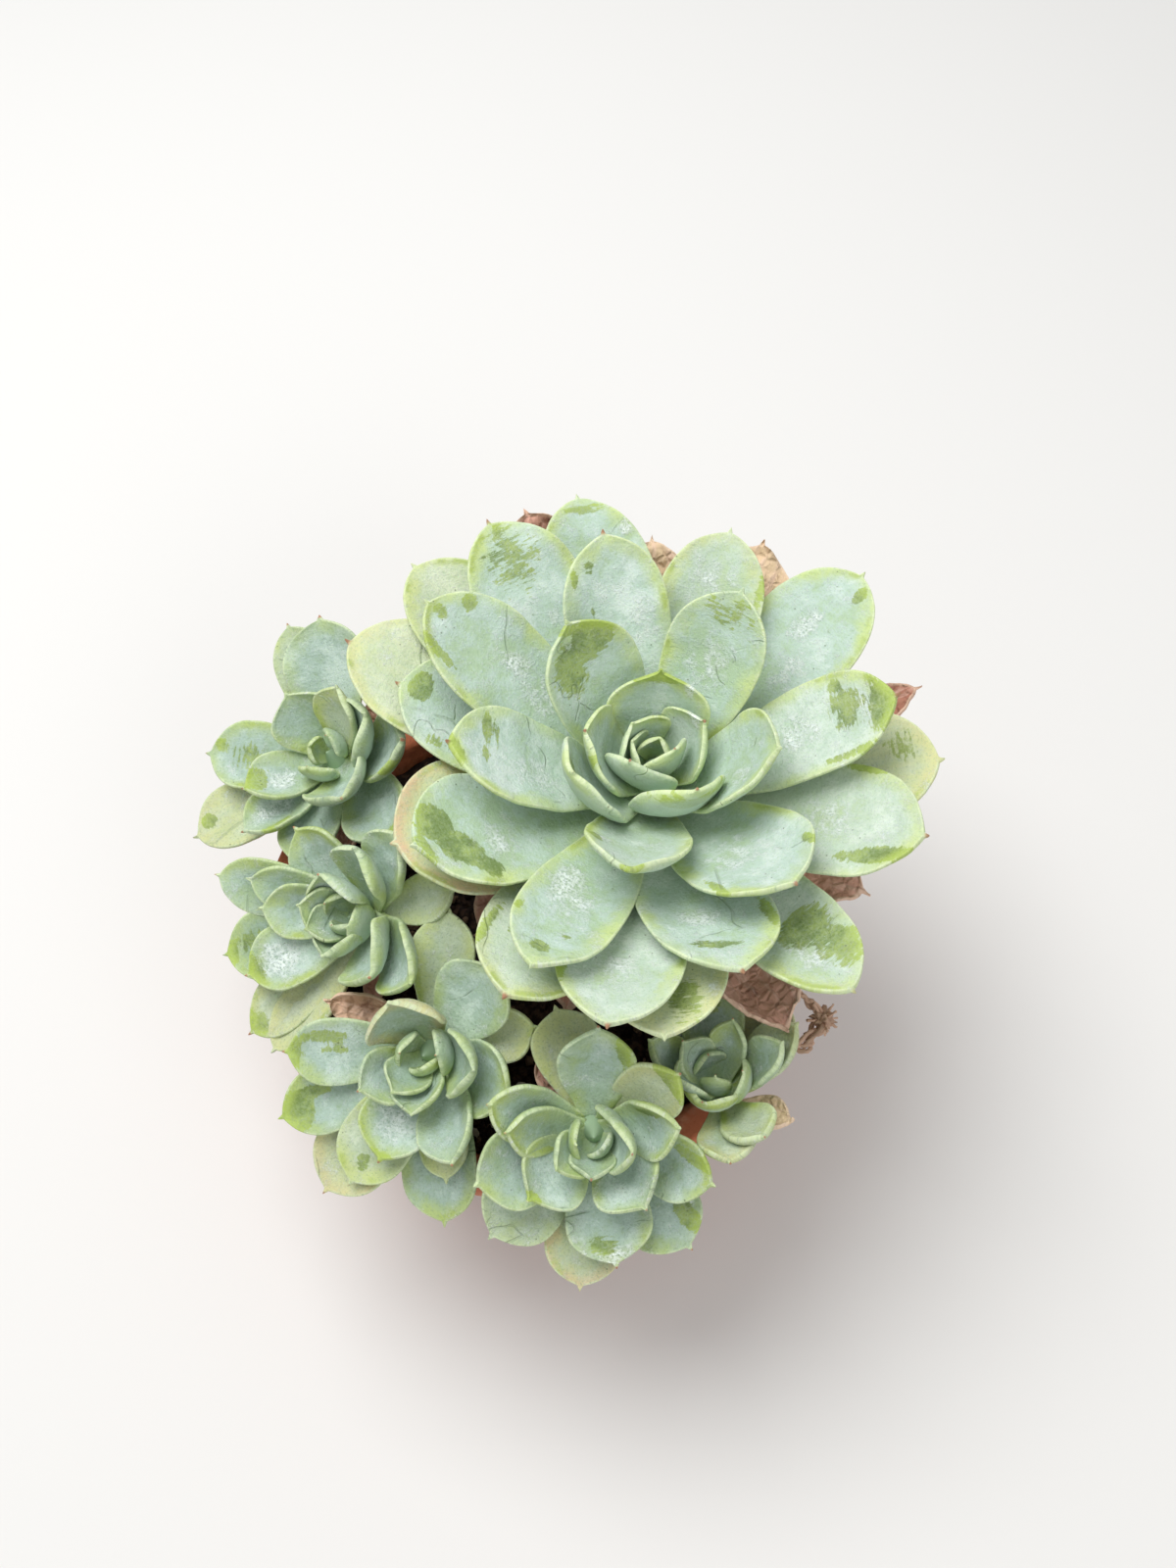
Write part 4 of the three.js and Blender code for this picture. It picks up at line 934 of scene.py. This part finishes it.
# Leaves: (direction, lift, length, width, rank, folded). Dry leaves: (direction, lift, length, width,
# curl, cup), and how cream the first of them is. Marks are listed by the leaf's place in its list,
# fading as (yellow, blush).
OFFSETS = [
    {
        "foot": (-53, 39.5, 100),
        "lean": (25, 245),
        "root": (-40, 37),
        "bend": (-43, 44, 76),
        "leaves": [
            (334, 46, 22, 21, 10, 0),
            (246, 34, 26, 17, 12, 0.2),
            (150, 38, 24, 24, 12, 0.8),
            (35, 50, 23, 17, 12, 0.2),
            (78, 48, 25, 22, 16, 0.9),
            (229, 22, 31, 16, 18, 0.4),
            (0, 20, 38, 26, 22, 0),
            (278, 18, 36, 21, 22, 0),
            (143, 10, 31, 22, 22, 0.5),
            (98, 30, 30, 22, 20, 0.9),
            (249, 8, 44, 21, 28, 0),
            (343, 15, 40, 18, 28, 0),
            (200, 10, 29, 19, 26, 0.2),
        ],
        "dry": [(50, 30, 34, 13, 20, 60), (190, 0, 30, 16, 8, 50)],
        "dry_cream": 0.0,
        "marks": {
            1: [("rubbed", 0.82, 0.25, 8, 9, 0, 1.0), ("chalk", 0.55, -0.1, 12, 7, 0, 0.7)],
            5: [("chalk", 0.6, 0.1, 16, 8, 0, 0.7), ("rubbed", 0.8, -0.9, 16, 3, 0, 0.8)],
            7: [("rubbed", 0.88, 0.45, 4, 4, 0, 1.0), ("rubbed", 0.66, 0.0, 10, 8, 0, 0.35)],
            8: [("rubbed", 0.93, 0.1, 5, 20, 0, 0.9)],
            9: [("rubbed", 0.8, 0.6, 5, 12, 0, 0.8)],
            10: [("rubbed", 0.86, 0.3, 5, 5, 0, 1.4)],
        },
        "fading": {10: (0.7, 0.1), 3: (0.4, 0.0), 11: (0.3, 0.0)},
    },
    {
        "foot": (-41, -8.5, 102),
        "lean": (46, 240),
        "root": (-24, 3),
        "bend": (-23, 4, 78),
        "leaves": [
            (255, 66, 15, 12, 6, 0),
            (300, 62, 17, 14, 8, 0),
            (190, 60, 17, 18, 9, 0.8),
            (10, 60, 19, 20, 10, 0.6),
            (285, 40, 27, 16, 14, 0.3),
            (142, 36, 24, 24, 14, 0.8),
            (40, 40, 24, 21, 18, 0.6),
            (250, 32, 34, 19, 18, 0),
            (300, 36, 32, 13, 20, 0.5),
            (130, 22, 30, 20, 20, 0.7),
            (335, 26, 28, 18, 22, 0.3),
            (264, 26, 40, 20, 24, 0),
            (295, 28, 42, 16, 26, 0),
            (234, 20, 43, 18, 28, 0),
            (222, 20, 41, 17, 30, 0),
            (84, -12, 24, 14, 24, 0.3),
            (46, 17, 25, 18, 24, 0.3),
        ],
        "dry": [(205, 0, 27, 9, 14, 55)],
        "dry_cream": 0.0,
        "marks": {
            7: [("chalk", 0.7, 0.0, 14, 12, 0, 0.7), ("rubbed", 0.9, 0.0, 5, 12, 0, 0.6)],
            11: [("rubbed", 0.75, 0.2, 12, 8, 0, 0.4), ("rubbed", 0.92, 0.0, 4, 10, 0, 0.9)],
            13: [("rubbed", 0.9, 0.0, 6, 12, 0, 0.7)],
        },
        "fading": {13: (0.5, 0.1), 14: (0.7, 0.1), 15: (0.4, 0.0)},
    },
    {
        "foot": (-23, -43.5, 98),
        "lean": (35, 210),
        "root": (-15, -30),
        "bend": (-15.5, -30, 76),
        "leaves": [
            (215, 62, 16, 14, 6, 0),
            (180, 54, 19, 15, 8, 0.2),
            (95, 46, 24, 20, 10, 0.8),
            (245, 50, 21, 16, 11, 0.3),
            (345, 50, 21, 24, 14, 0.6),
            (158, 36, 30, 18, 16, 0.6),
            (205, 28, 28, 20, 16, 0),
            (43, 6, 26, 22, 20, 0),
            (110, 30, 26, 20, 20, 0.2),
            (275, 22, 35, 18, 20, 0),
            (250, 15, 40, 18, 24, 0),
            (8, -8, 32, 18, 26, 0),
            (80, -4, 24, 15, 26, 0.5),
            (175, 12, 29, 14, 26, 0),
            (215, 16, 36, 20, 27, 0),
            (180, 5, 40, 21, 28, 0),
            (222, 9, 43, 22, 30, 0),
        ],
        "dry": [(296, 14, 33, 12, 18, 60), (40, -16, 20, 9, 10, 50)],
        "dry_cream": 0.4,
        "marks": {
            6: [("chalk", 0.6, 0.1, 12, 12, 0, 0.6), ("rubbed", 0.96, 0.0, 4, 12, 0, 0.8)],
            9: [
                ("rubbed", 0.7, 0.45, 14, 4, 0, 1.0),
                ("rubbed", 0.62, 0.05, 9, 3, 0, 0.7),
                ("rubbed", 0.92, -0.1, 6, 12, 0, 0.8),
            ],
            10: [("rubbed", 0.88, -0.1, 11, 12, 0, 1.5), ("rubbed", 0.74, 0.35, 12, 4, 10, 1.2)],
            14: [("rubbed", 0.8, 0.0, 5, 4, 0, 0.9)],
        },
        "fading": {
            4: (0.1, 0.4),
            11: (0.4, 0.0),
            12: (0.7, 0.0),
            13: (0.6, 0.0),
            14: (0.4, 0.0),
            16: (0.7, 0.3),
        },
    },
    {
        "foot": (16.5, -63, 96),
        "lean": (33, 180),
        "root": (16, -46),
        "bend": (16.5, -48.5, 74),
        "leaves": [
            (185, 62, 15, 13, 6, 0),
            (240, 58, 17, 13, 8, 0),
            (92, 68, 20, 17, 9, 1),
            (280, 38, 25, 14, 13, 0.5),
            (75, 44, 26, 17, 14, 0.7),
            (230, 36, 23, 20, 14, 0),
            (140, 42, 23, 20, 16, 0.2),
            (292, 33, 29, 16, 20, 0.5),
            (250, 24, 30, 21, 20, 0),
            (2, 26, 28, 20, 20, 0),
            (170, 18, 30, 22, 22, 0),
            (110, 24, 30, 17, 22, 0.2),
            (50, 32, 27, 17, 26, 0.2),
            (185, 5, 36, 20, 28, 0),
            (225, 10, 33, 21, 28, 0),
            (140, 8, 34, 21, 28, 0),
            (342, -8, 28, 18, 30, 0),
        ],
        "dry": [(320, -2, 22, 10, 8, 50)],
        "dry_cream": 0.0,
        "marks": {
            4: [("rubbed", 0.66, -0.55, 11, 3, 12, 1.2)],
            5: [("rubbed", 0.92, -0.2, 3, 5, 0, 1.0)],
            9: [("rubbed", 0.8, 0.78, 13, 4, -8, 1.5)],
            10: [("rubbed", 0.8, 0.25, 5, 9, 0, 0.6), ("chalk", 0.9, 0.0, 5, 16, 0, 0.6)],
            11: [("rubbed", 0.82, -0.62, 16, 4, 8, 1.5)],
            12: [("rubbed", 0.88, 0.2, 5, 15, 0, 1.2)],
            15: [("rubbed", 0.78, -0.5, 11, 6, 0, 1.4), ("chalk", 0.7, -0.7, 6, 4, 0, 0.7)],
        },
        "fading": {12: (0.6, 0.1), 13: (0.5, 0.6), 14: (0.3, 0.0), 16: (0.7, 0.0)},
    },
    {
        "foot": (48, -54, 93),
        "lean": (12, 330),
        "root": (32, -32),
        "bend": (38, -40, 87),
        "leaves": [
            (245, 55, 18, 13, 6, 0),
            (305, 60, 17, 13, 8, 0),
            (25, 62, 20, 11, 10, 0.4),
            (200, 56, 17, 16, 10, 0.6),
            (290, 48, 23, 13, 14, 0.4),
            (75, 48, 22, 13, 16, 0.8),
            (358, 36, 25, 17, 18, 0),
            (62, 36, 25, 14, 22, 0.8),
            (325, 35, 21, 13, 22, 0),
            (45, 25, 26, 15, 24, 0),
            (20, 24, 30, 14, 26, 0),
            (150, 34, 21, 15, 24, 0.6),
            (175, 24, 21, 15, 26, 0.2),
        ],
        "dry": [(112, 18, 20, 12, 22, 60)],
        "dry_cream": 0.9,
        "marks": {6: [("rubbed", 0.8, 0.0, 6, 5, 0, 0.7)], 8: [("chalk", 0.7, 0.0, 8, 5, 0, 0.6)]},
        "fading": {7: (0.3, 0.1), 9: (0.5, 0.1), 10: (0.5, 0.3), 11: (0.4, 0.0), 12: (0.3, 0.2)},
    },
]


def offset_leaf(offset, place):
    """The measures of one leaf of an offset, by its place in the list."""
    direction, lift, length, width, rank, folded = offset["leaves"][place]
    leaf = grown(OFFSET_GROWTH, rank)
    leaf["curl"] += FOLD_CURL * folded
    leaf["cup"] += FOLD_CUP * folded
    leaf.update(direction=direction, lift=lift, length=length, width=width, swerve=0)
    leaf["foot_radius"] = min(OFFSET_FOOT_RADIUS, OFFSET_FOOT_RADIUS_STEP * rank)
    leaf["age"] = rank / OLDEST_OFFSET_RANK
    leaf["yellow"], leaf["blush"] = offset["fading"].get(place, (0.0, 0.0))
    leaf["marks"] = offset["marks"].get(place, [])
    return leaf


def bud_leaf(number, direction):
    """One of the closed leaves in the middle of an offset, the youngest first."""
    return {
        "direction": direction - GOLDEN_ANGLE * (BUD_LEAVES + 1 - number),
        "lift": 92 - 6 * number,
        "length": 9 + 2 * number,
        "width": 7 + 1.7 * number,
        "thickness": 2.2,
        "curl": 40,
        "cup": 58 - 6 * number,
        "foot_radius": 0.4 + 0.7 * number,
        "foot_height": 5 - 0.8 * number,
        "point": 0.8,
        "taper": 1.15,
        "swerve": 0,
        "age": 0.0,
        "yellow": 0.0,
        "blush": 0.0,
        "marks": [],
    }


# The offsets' colours are darker and greener than the large rosette's: partly their own younger skin, partly
# painted shade for sitting lower, under the large rosette. The last colour is the edge line, partly painted
# highlight.
offset_skin_and_shade = leaf_finish("young_leaf_and_shade", shade(170, 192, 178), shade(198, 216, 204), shade(152, 176, 140),
                          shade(122, 148, 122), shade(180, 198, 124), shade(208, 222, 178))
for number, offset in enumerate(OFFSETS, start=1):
    leaves = [offset_leaf(offset, place) for place in range(len(offset["leaves"]))]
    leaves += [bud_leaf(k + 1, leaves[0]["direction"]) for k in range(BUD_LEAVES)]
    parts = []
    for k, leaf in enumerate(leaves):
        seed = LEAF_SEED * (SEEDS_PER_OFFSET * number + k)
        parts.append(leaf_mesh(leaf, OFFSET_LEAF_ROWS, OFFSET_LEAF_COLUMNS, seed))
    parts.append(heart_mesh(*OFFSET_HEART, parts[0][2]))
    points, faces, measures = joined(parts)
    points = planted(points, offset["foot"], offset["lean"])
    piece = make_piece(f"rosette_offset_{number}_leaves", points, faces, offset_skin_and_shade, measures)
    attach(piece, "root")
    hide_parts(f"rosette_offset_{number}")

# Stems and dead leaves
# A woody stem under each rosette, ringed by the scars of fallen leaves. The lowest leaves have died
# and shrivelled to thin, crumpled, papery sheets that still cling to it.
ROOT_DEPTH = 56
HEAD_STEM_RADII = (9.5, 8)
OFFSET_STEM_RADII = (4, 3.3)
HEART_BELOW_FOOT = 0.25
NECK_LENGTH = 5
JOINT_GAP = 0.3
STEM_STEPS = 60
STEM_SIDES = 20
STEM_ROUGHNESS = 0.04
SCAR_PITCH = 3.2
SCAR_DEPTH = 0.07
HEAD_STEM_SEED = 301
OFFSET_STEM_SEED = 310

# Dead leaves of the large rosette: number, turn, raised, longer, wider, curl and cup.
HEAD_DRY_LEAVES = [
    (35, -8, 12, 15, 7, 6, 20),
    (37, -2, 0, -7, -6, 14, 50),
    (38, -3, 15, 24, 10, 6, 20),
    (39, 0, -4, -8, 0, 4, 40),
    (40, 3, 9, 13, -6, 14, 60),
    (42, 4, 4, 4, 4, 14, 50),
    (43, -11, 12, 14, 2, 6, 34),
    (44, 0, -6, -12, 0, -8, 44),
    (46, 0, -14, -18, 0, -10, 46),
    (48, 0, -22, -24, 0, -12, 48),
]
HEAD_DRY_LENGTH = 66
HEAD_DRY_WIDTH = 25
HEAD_DRY_LIFT = 6
HEAD_DRY_FOOT_HEIGHT = -9.5
HEAD_DRY_SPACING = 0.6
OFFSET_DRY_FOOT_HEIGHT = -5.5
HEAD_DRY_FOOT_RADIUS = 4
OFFSET_DRY_FOOT_RADIUS = 1.2
DRY_THICKNESS = 1.0
HEAD_DRY_WAVE = 1.3
OFFSET_DRY_WAVE = 0.7
DRY_LEAF_ROWS = 42
DRY_LEAF_COLUMNS = 16
SEED_STEP = 7
CREAM_DRY_LEAVES = (35, 43)
CREAM_STRENGTH = 0.8


def dry_leaf(direction, lift, length, width, curl, cup, foot_radius, foot_height, wave):
    """The measures of a dead leaf: a thin crumpled sheet with the outline of a live one."""
    return {
        "direction": direction,
        "lift": lift,
        "length": length,
        "width": width,
        "thickness": DRY_THICKNESS,
        "curl": curl,
        "cup": cup,
        "foot_radius": foot_radius,
        "foot_height": foot_height,
        "point": 2.0,
        "taper": 0.7,
        "swerve": 0,
        "sheet": True,
        "wave": wave,
        "wave_size": 10,
        "age": 1.0,
        "yellow": 0.0,
        "blush": 0.0,
        "marks": [],
    }


def stem_curve(root, bend, foot, lean, heart_height):
    """The stem's middle line, from its root in the soil to just under the heart."""
    below = -(HEART_BELOW_FOOT * heart_height + JOINT_GAP)
    neck, top = planted(np.array([[0, 0, below - NECK_LENGTH], [0, 0, below]]), foot, lean)
    ends = [np.array((*root, ROOT_DEPTH)), np.array(bend), neck, top]
    share = np.linspace(0, 1, STEM_STEPS)[:, None]
    weights = [(1 - share) ** 3, 3 * share * (1 - share) ** 2, 3 * share ** 2 * (1 - share), share ** 3]
    return sum(weight * np.asarray(end, float) for weight, end in zip(weights, ends))


def rod(path, radii, sides, roughness, seed):
    """A closed round rod along a path, its surface uneven by some share of its radius."""
    path = np.asarray(path, float)
    ahead = np.gradient(path, axis=0)
    ahead /= np.linalg.norm(ahead, axis=1, keepdims=True)
    across = np.cross(ahead[0], [0.3, 0.9, 0.2])
    rings = []
    for way, centre, radius in zip(ahead, path, radii):
        across = across - way * (across @ way)
        across /= np.linalg.norm(across)
        other = np.cross(way, across)
        angles = np.linspace(0, 2 * math.pi, sides, endpoint=False)[:, None]
        rings.append(centre + radius * (np.cos(angles) * across + np.sin(angles) * other))
    rings = np.array(rings)
    uneven = ripple(rings.reshape(-1, 3), 4 * float(np.mean(radii)) / 3, seed).reshape(rings.shape[:2])
    middle = path[:, None, :]
    rings = middle + (rings - middle) * (1 + roughness * uneven[..., None])
    points = np.vstack([rings.reshape(-1, 3), path[:1], path[-1:]])
    return points, tube_faces(len(path), sides, len(points) - 2, len(points) - 1)


def wood_measures(points, like, woodiness):
    """The measures of a stem or a strand: 1 for bark, and less the more it looks like dead leaf."""
    return {**blank_measures(points, like), "wood": np.full(len(points), woodiness)}


DEAD_BROWN = shade(176, 118, 98)
DEAD_PINK = shade(218, 168, 148)
DEAD_CREAM = shade(230, 208, 170)
DEAD_BLOTCH = shade(112, 66, 50)
DEAD_VEIN = shade(240, 208, 192)
CRUMPLE_SHADE = shade(128, 76, 58)
DEAD_EDGE = shade(232, 206, 180)
DARK_BARK = shade(112, 88, 68)
PALE_BARK = shade(168, 146, 120)


def dead_finish():
    """Papery dead leaf, veined and blotched, with painted shade along its folds, and grey-brown bark where
    the piece is wood.
    """
    dead = Finish("dead_leaf_and_wood")
    where = dead.place()
    blade = dead.stretched(dead.measured("blade", "Vector"), (MM, MM, MM))
    luck, edge, wood = dead.measured("luck"), dead.measured("edge"), dead.measured("wood")
    veins = dead.mottle(dead.stretched(blade, (1.0, 0.16, 1.0)), 0.0022, detail=5, roughness=0.65)
    blotches = dead.mottle(blade, 0.009, detail=6, roughness=0.65)
    crumples = dead.cells(blade, 0.0028, "DISTANCE_TO_EDGE")
    colour = dead.tint(DEAD_BROWN, DEAD_PINK, dead.fade(luck, 0.1, 0.6))
    colour = dead.tint(colour, DEAD_CREAM, dead.measured("yellow"))
    colour = dead.tint(colour, DEAD_BLOTCH, dead.times(dead.fade(blotches, 0.52, 0.7), 0.8))
    colour = dead.tint(colour, DEAD_VEIN, dead.times(dead.fade(veins, 0.48, 0.66), 0.5))
    # Painted shade: a little darker along the crumple folds.
    colour = dead.tint(colour, CRUMPLE_SHADE, dead.times(dead.fade(crumples, 0.1, 0.01), 0.12))
    colour = dead.tint(colour, DEAD_EDGE, dead.times(dead.fade(edge, 1.0, 0.2), 0.55))
    bark_grain = dead.mottle(dead.stretched(where, (1.0, 1.0, 0.45)), 0.0016, detail=6)
    bark = dead.tint(DARK_BARK, PALE_BARK, dead.fade(bark_grain, 0.35, 0.65))
    colour = dead.tint(colour, bark, wood)
    height = dead.sum(veins, dead.sum(blotches, dead.times(bark_grain, wood)))
    height = dead.sum(height, dead.times(dead.fade(crumples, 0.0, 0.3), 0.4))
    return dead.finish(colour, 0.82, height=height, depth=0.001, gloss=0.22)


dead_skin = dead_finish()


def stem_piece(node, path, radii, dry, foot, lean, seed):
    """A stem with its dead leaves, in one piece as it grew."""
    parts = []
    for place, leaf in enumerate(dry):
        seed_here = seed + SEED_STEP * place
        points, faces, measures = leaf_mesh(leaf, DRY_LEAF_ROWS, DRY_LEAF_COLUMNS, seed_here)
        measures["wood"] = np.zeros(len(points))
        parts.append((planted(points, foot, lean), faces, measures))
    length = np.concatenate([[0], np.cumsum(np.linalg.norm(np.diff(path, axis=0), axis=1))])
    scars = 1 - SCAR_DEPTH * np.sqrt(np.abs(np.sin(math.pi * length / SCAR_PITCH)))
    widths = np.linspace(radii[0], radii[1], len(path)) * scars
    points, faces = rod(path, widths, STEM_SIDES, STEM_ROUGHNESS, seed)
    parts.append((points, faces, wood_measures(points, parts[0][2], 1.0)))
    points, faces, measures = joined(parts)
    piece = make_piece(f"{node}_with_dead_leaves", points, faces, dead_skin, measures)
    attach(piece, "root")
    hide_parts(node)


head_dry = []
for k, turn, raised, longer, wider, curl, cup in HEAD_DRY_LEAVES:
    direction = HEAD_FIRST_DIRECTION - GOLDEN_ANGLE * (k - 1) + turn
    foot_height = HEAD_DRY_FOOT_HEIGHT - HEAD_DRY_SPACING * (k - HEAD_DRY_LEAVES[0][0])
    head_dry.append(dry_leaf(direction, HEAD_DRY_LIFT + raised, HEAD_DRY_LENGTH + longer,
                             HEAD_DRY_WIDTH + wider, curl, cup, HEAD_DRY_FOOT_RADIUS, foot_height,
                             HEAD_DRY_WAVE))
    head_dry[-1]["yellow"] = CREAM_STRENGTH * (k in CREAM_DRY_LEAVES)
head_path = stem_curve(HEAD_FOOT[:2], (*HEAD_FOOT[:2], SOIL_EDGE_HEIGHT), HEAD_FOOT, (0, 0), HEAD_HEART[1])
stem_piece("stem_head", head_path, HEAD_STEM_RADII, head_dry, HEAD_FOOT, (0, 0), HEAD_STEM_SEED)

for number, offset in enumerate(OFFSETS, start=1):
    dry = [dry_leaf(*leaf, OFFSET_DRY_FOOT_RADIUS, OFFSET_DRY_FOOT_HEIGHT, OFFSET_DRY_WAVE)
           for leaf in offset["dry"]]
    dry[0]["yellow"] = offset["dry_cream"]
    path = stem_curve(offset["root"], offset["bend"], offset["foot"], offset["lean"], OFFSET_HEART[1])
    stem_piece(f"stem_offset_{number}", path, OFFSET_STEM_RADII, dry, offset["foot"], offset["lean"],
               OFFSET_STEM_SEED + SEEDS_PER_OFFSET * number)

# Old flower stalk
# What is left of last year's flower stalk: withered strands of brown fibre, loosely twisted, that
# end in the dry knot of its last flowers, with one side twig.
STALK_PATH = [(48, -18, 58), (51, -19, 76), (57, -20, 92), (63, -26, 97), (69, -27, 95), (75, -31, 92)]
TWIG_PATH = [(76, -33, 91), (73, -37, 90), (69, -40, 88.5), (65, -37.5, 88)]
STALK_RADII = (1.4, 1.0)
STALK_STRANDS = 4
STRAND_SHARE = 0.5
STRAND_SIDES = 8
STRAND_ROUGHNESS = 0.3
STRAND_WANDER_SIZE = 5
STALK_STEPS = 12
STALK_SEEDS = (401, 402)
STRAND_SEED_STEP = 20
WANDER_SEED_STEP = 5
STRAND_WOOD_STEP = 0.15
KNOB_PLACE = (76, -33, 91.5)
KNOB_RADIUS = 3
KNOB_SIDES = 24
KNOB_STEP = 0.5
KNOB_FULLNESS = 0.8
KNOB_LUMPS = 0.3
KNOB_LUMP_SIZE = 1.6
KNOB_WOOD = 0.4
KNOB_SEED = 403
KNOB_TWIGS = 11
KNOB_TWIG_LENGTH = 2.2
KNOB_TWIG_RADIUS = 0.35
KNOB_TWIG_STEPS = 6
KNOB_TWIG_SIDES = 6
KNOB_TWIG_WOOD = 0.1
KNOB_TWIG_SEED = 420


def smooth_path(corners, steps):
    """A smooth curve through points, evenly stepped between them."""
    corners = np.array([np.subtract(np.multiply(2, corners[0]), corners[1]), *corners,
                        np.subtract(np.multiply(2, corners[-1]), corners[-2])], float)
    path = []
    for before, start, end, after in zip(corners, corners[1:], corners[2:], corners[3:]):
        for share in np.linspace(0, 1, steps, endpoint=False):
            ahead = (end - before) * share + (2 * before - 5 * start + 4 * end - after) * share ** 2
            path.append(0.5 * (2 * start + ahead + (3 * start - before - 3 * end + after) * share ** 3))
    return np.array(path + [corners[-2]])


stalk_parts = []
like = {"luck": np.zeros(1), "edge": np.zeros(1), "blade": np.zeros((1, 3))}
for corners, seed in zip((STALK_PATH, TWIG_PATH), STALK_SEEDS):
    path = smooth_path(corners, STALK_STEPS)
    radii = np.linspace(*STALK_RADII, len(path))
    for strand in range(STALK_STRANDS):
        seed_here = seed + STRAND_SEED_STEP * strand
        wander = [ripple(path, STRAND_WANDER_SIZE, seed_here + WANDER_SEED_STEP * axis) for axis in range(3)]
        strand_path = path + radii[:, None] * np.array(wander).T
        points, faces = rod(strand_path, STRAND_SHARE * radii, STRAND_SIDES, STRAND_ROUGHNESS, seed_here)
        stalk_parts.append((points, faces, wood_measures(points, like, STRAND_WOOD_STEP * strand)))
knob_rings = [(0, -1), (0.5, -0.87), (0.87, -0.5), (1, 0), (0.87, 0.5), (0.5, 0.87), (0, 1)]
points, faces = turned(stepped(np.array(knob_rings, float) * KNOB_RADIUS, KNOB_STEP), KNOB_SIDES)
lumpy = KNOB_FULLNESS + KNOB_LUMPS * ripple(points, KNOB_LUMP_SIZE, KNOB_SEED)
points = points * lumpy[:, None] + KNOB_PLACE
stalk_parts.append((points, faces, wood_measures(points, like, KNOB_WOOD)))
for twig in range(KNOB_TWIGS):
    turn = math.radians(GOLDEN_ANGLE * twig)
    rise = 1 - 2 * (twig + 0.5) / KNOB_TWIGS
    across = math.sqrt(1 - rise * rise)
    outward = np.array([across * math.cos(turn), across * math.sin(turn), rise])
    reach = KNOB_RADIUS + KNOB_TWIG_LENGTH * (0.5 + abs(rise))
    path = KNOB_PLACE + np.linspace(0.5 * KNOB_RADIUS, reach, KNOB_TWIG_STEPS)[:, None] * outward
    radii = np.full(KNOB_TWIG_STEPS, KNOB_TWIG_RADIUS)
    points, faces = rod(path, radii, KNOB_TWIG_SIDES, STRAND_ROUGHNESS, KNOB_TWIG_SEED + twig)
    stalk_parts.append((points, faces, wood_measures(points, like, KNOB_TWIG_WOOD)))
points, faces, measures = joined(stalk_parts)
stalk_piece = make_piece("withered_flower_stalk", points, faces, dead_skin, measures)
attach(stalk_piece, "root")
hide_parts("old_flower_stalk")

# Floor, light and camera
# A pale matt floor in a bright plain room, under a large overhead softbox and a weaker lamp at the
# front, looked at from 60 degrees above the horizon, as the plant is in the picture.
CAMERA_PLACE = (0.01508, -0.1753, 0.45997)
CAMERA_DOWN = 60
FOCAL_PIXELS = 1537
FRAME_HEIGHT = 1600
FILM_SIDE = 36
FLOOR_RADIUS = 3
FLOOR_SIDES = 96
FLOOR_BELOW = 0.0005
ROOM_COLOUR = (0.97, 0.98, 1.0, 1)
ROOM_BRIGHTNESS = 0.51
PLANT_MIDDLE = (0, 0, 0.1)

bpy.ops.mesh.primitive_circle_add(vertices=FLOOR_SIDES, radius=FLOOR_RADIUS, fill_type="NGON",
                                  location=(0, 0, -FLOOR_BELOW))
floor = bpy.context.object
floor.name = "floor"
matt = Finish("pale_floor")
matt.finish(shade(226, 225, 222), 0.9, gloss=0.2)
floor.data.materials.append(matt.material)

world = bpy.context.scene.world or bpy.data.worlds.new("studio")
bpy.context.scene.world = world
world.use_nodes = True
world.node_tree.nodes["Background"].inputs["Color"].default_value = ROOM_COLOUR
world.node_tree.nodes["Background"].inputs["Strength"].default_value = ROOM_BRIGHTNESS


def softbox(name, place, size, power):
    """A round lamp aimed at the plant."""
    light = bpy.data.lights.new(name, "AREA")
    light.shape = "DISK"
    light.size = size
    light.energy = power
    lamp = bpy.data.objects.new(name, light)
    lamp.location = place
    lamp.rotation_euler = (Vector(PLANT_MIDDLE) - Vector(place)).to_track_quat("-Z", "Y").to_euler()
    bpy.context.scene.collection.objects.link(lamp)


softbox("overhead_softbox", (-0.35, 0.3, 1.2), size=0.9, power=13.3)
softbox("front_fill", (0.6, -0.9, 0.9), size=0.8, power=3.3)

camera = bpy.data.cameras.new("camera")
camera.sensor_width = FILM_SIDE
camera.lens = FILM_SIDE * FOCAL_PIXELS / FRAME_HEIGHT
camera.clip_start = 0.01
viewer = bpy.data.objects.new("camera", camera)
viewer.location = CAMERA_PLACE
viewer.rotation_euler = (math.radians(90 - CAMERA_DOWN), 0, 0)
bpy.context.scene.collection.objects.link(viewer)
bpy.context.scene.camera = viewer
bpy.context.scene.view_settings.view_transform = "Standard"

bpy.context.view_layer.update()
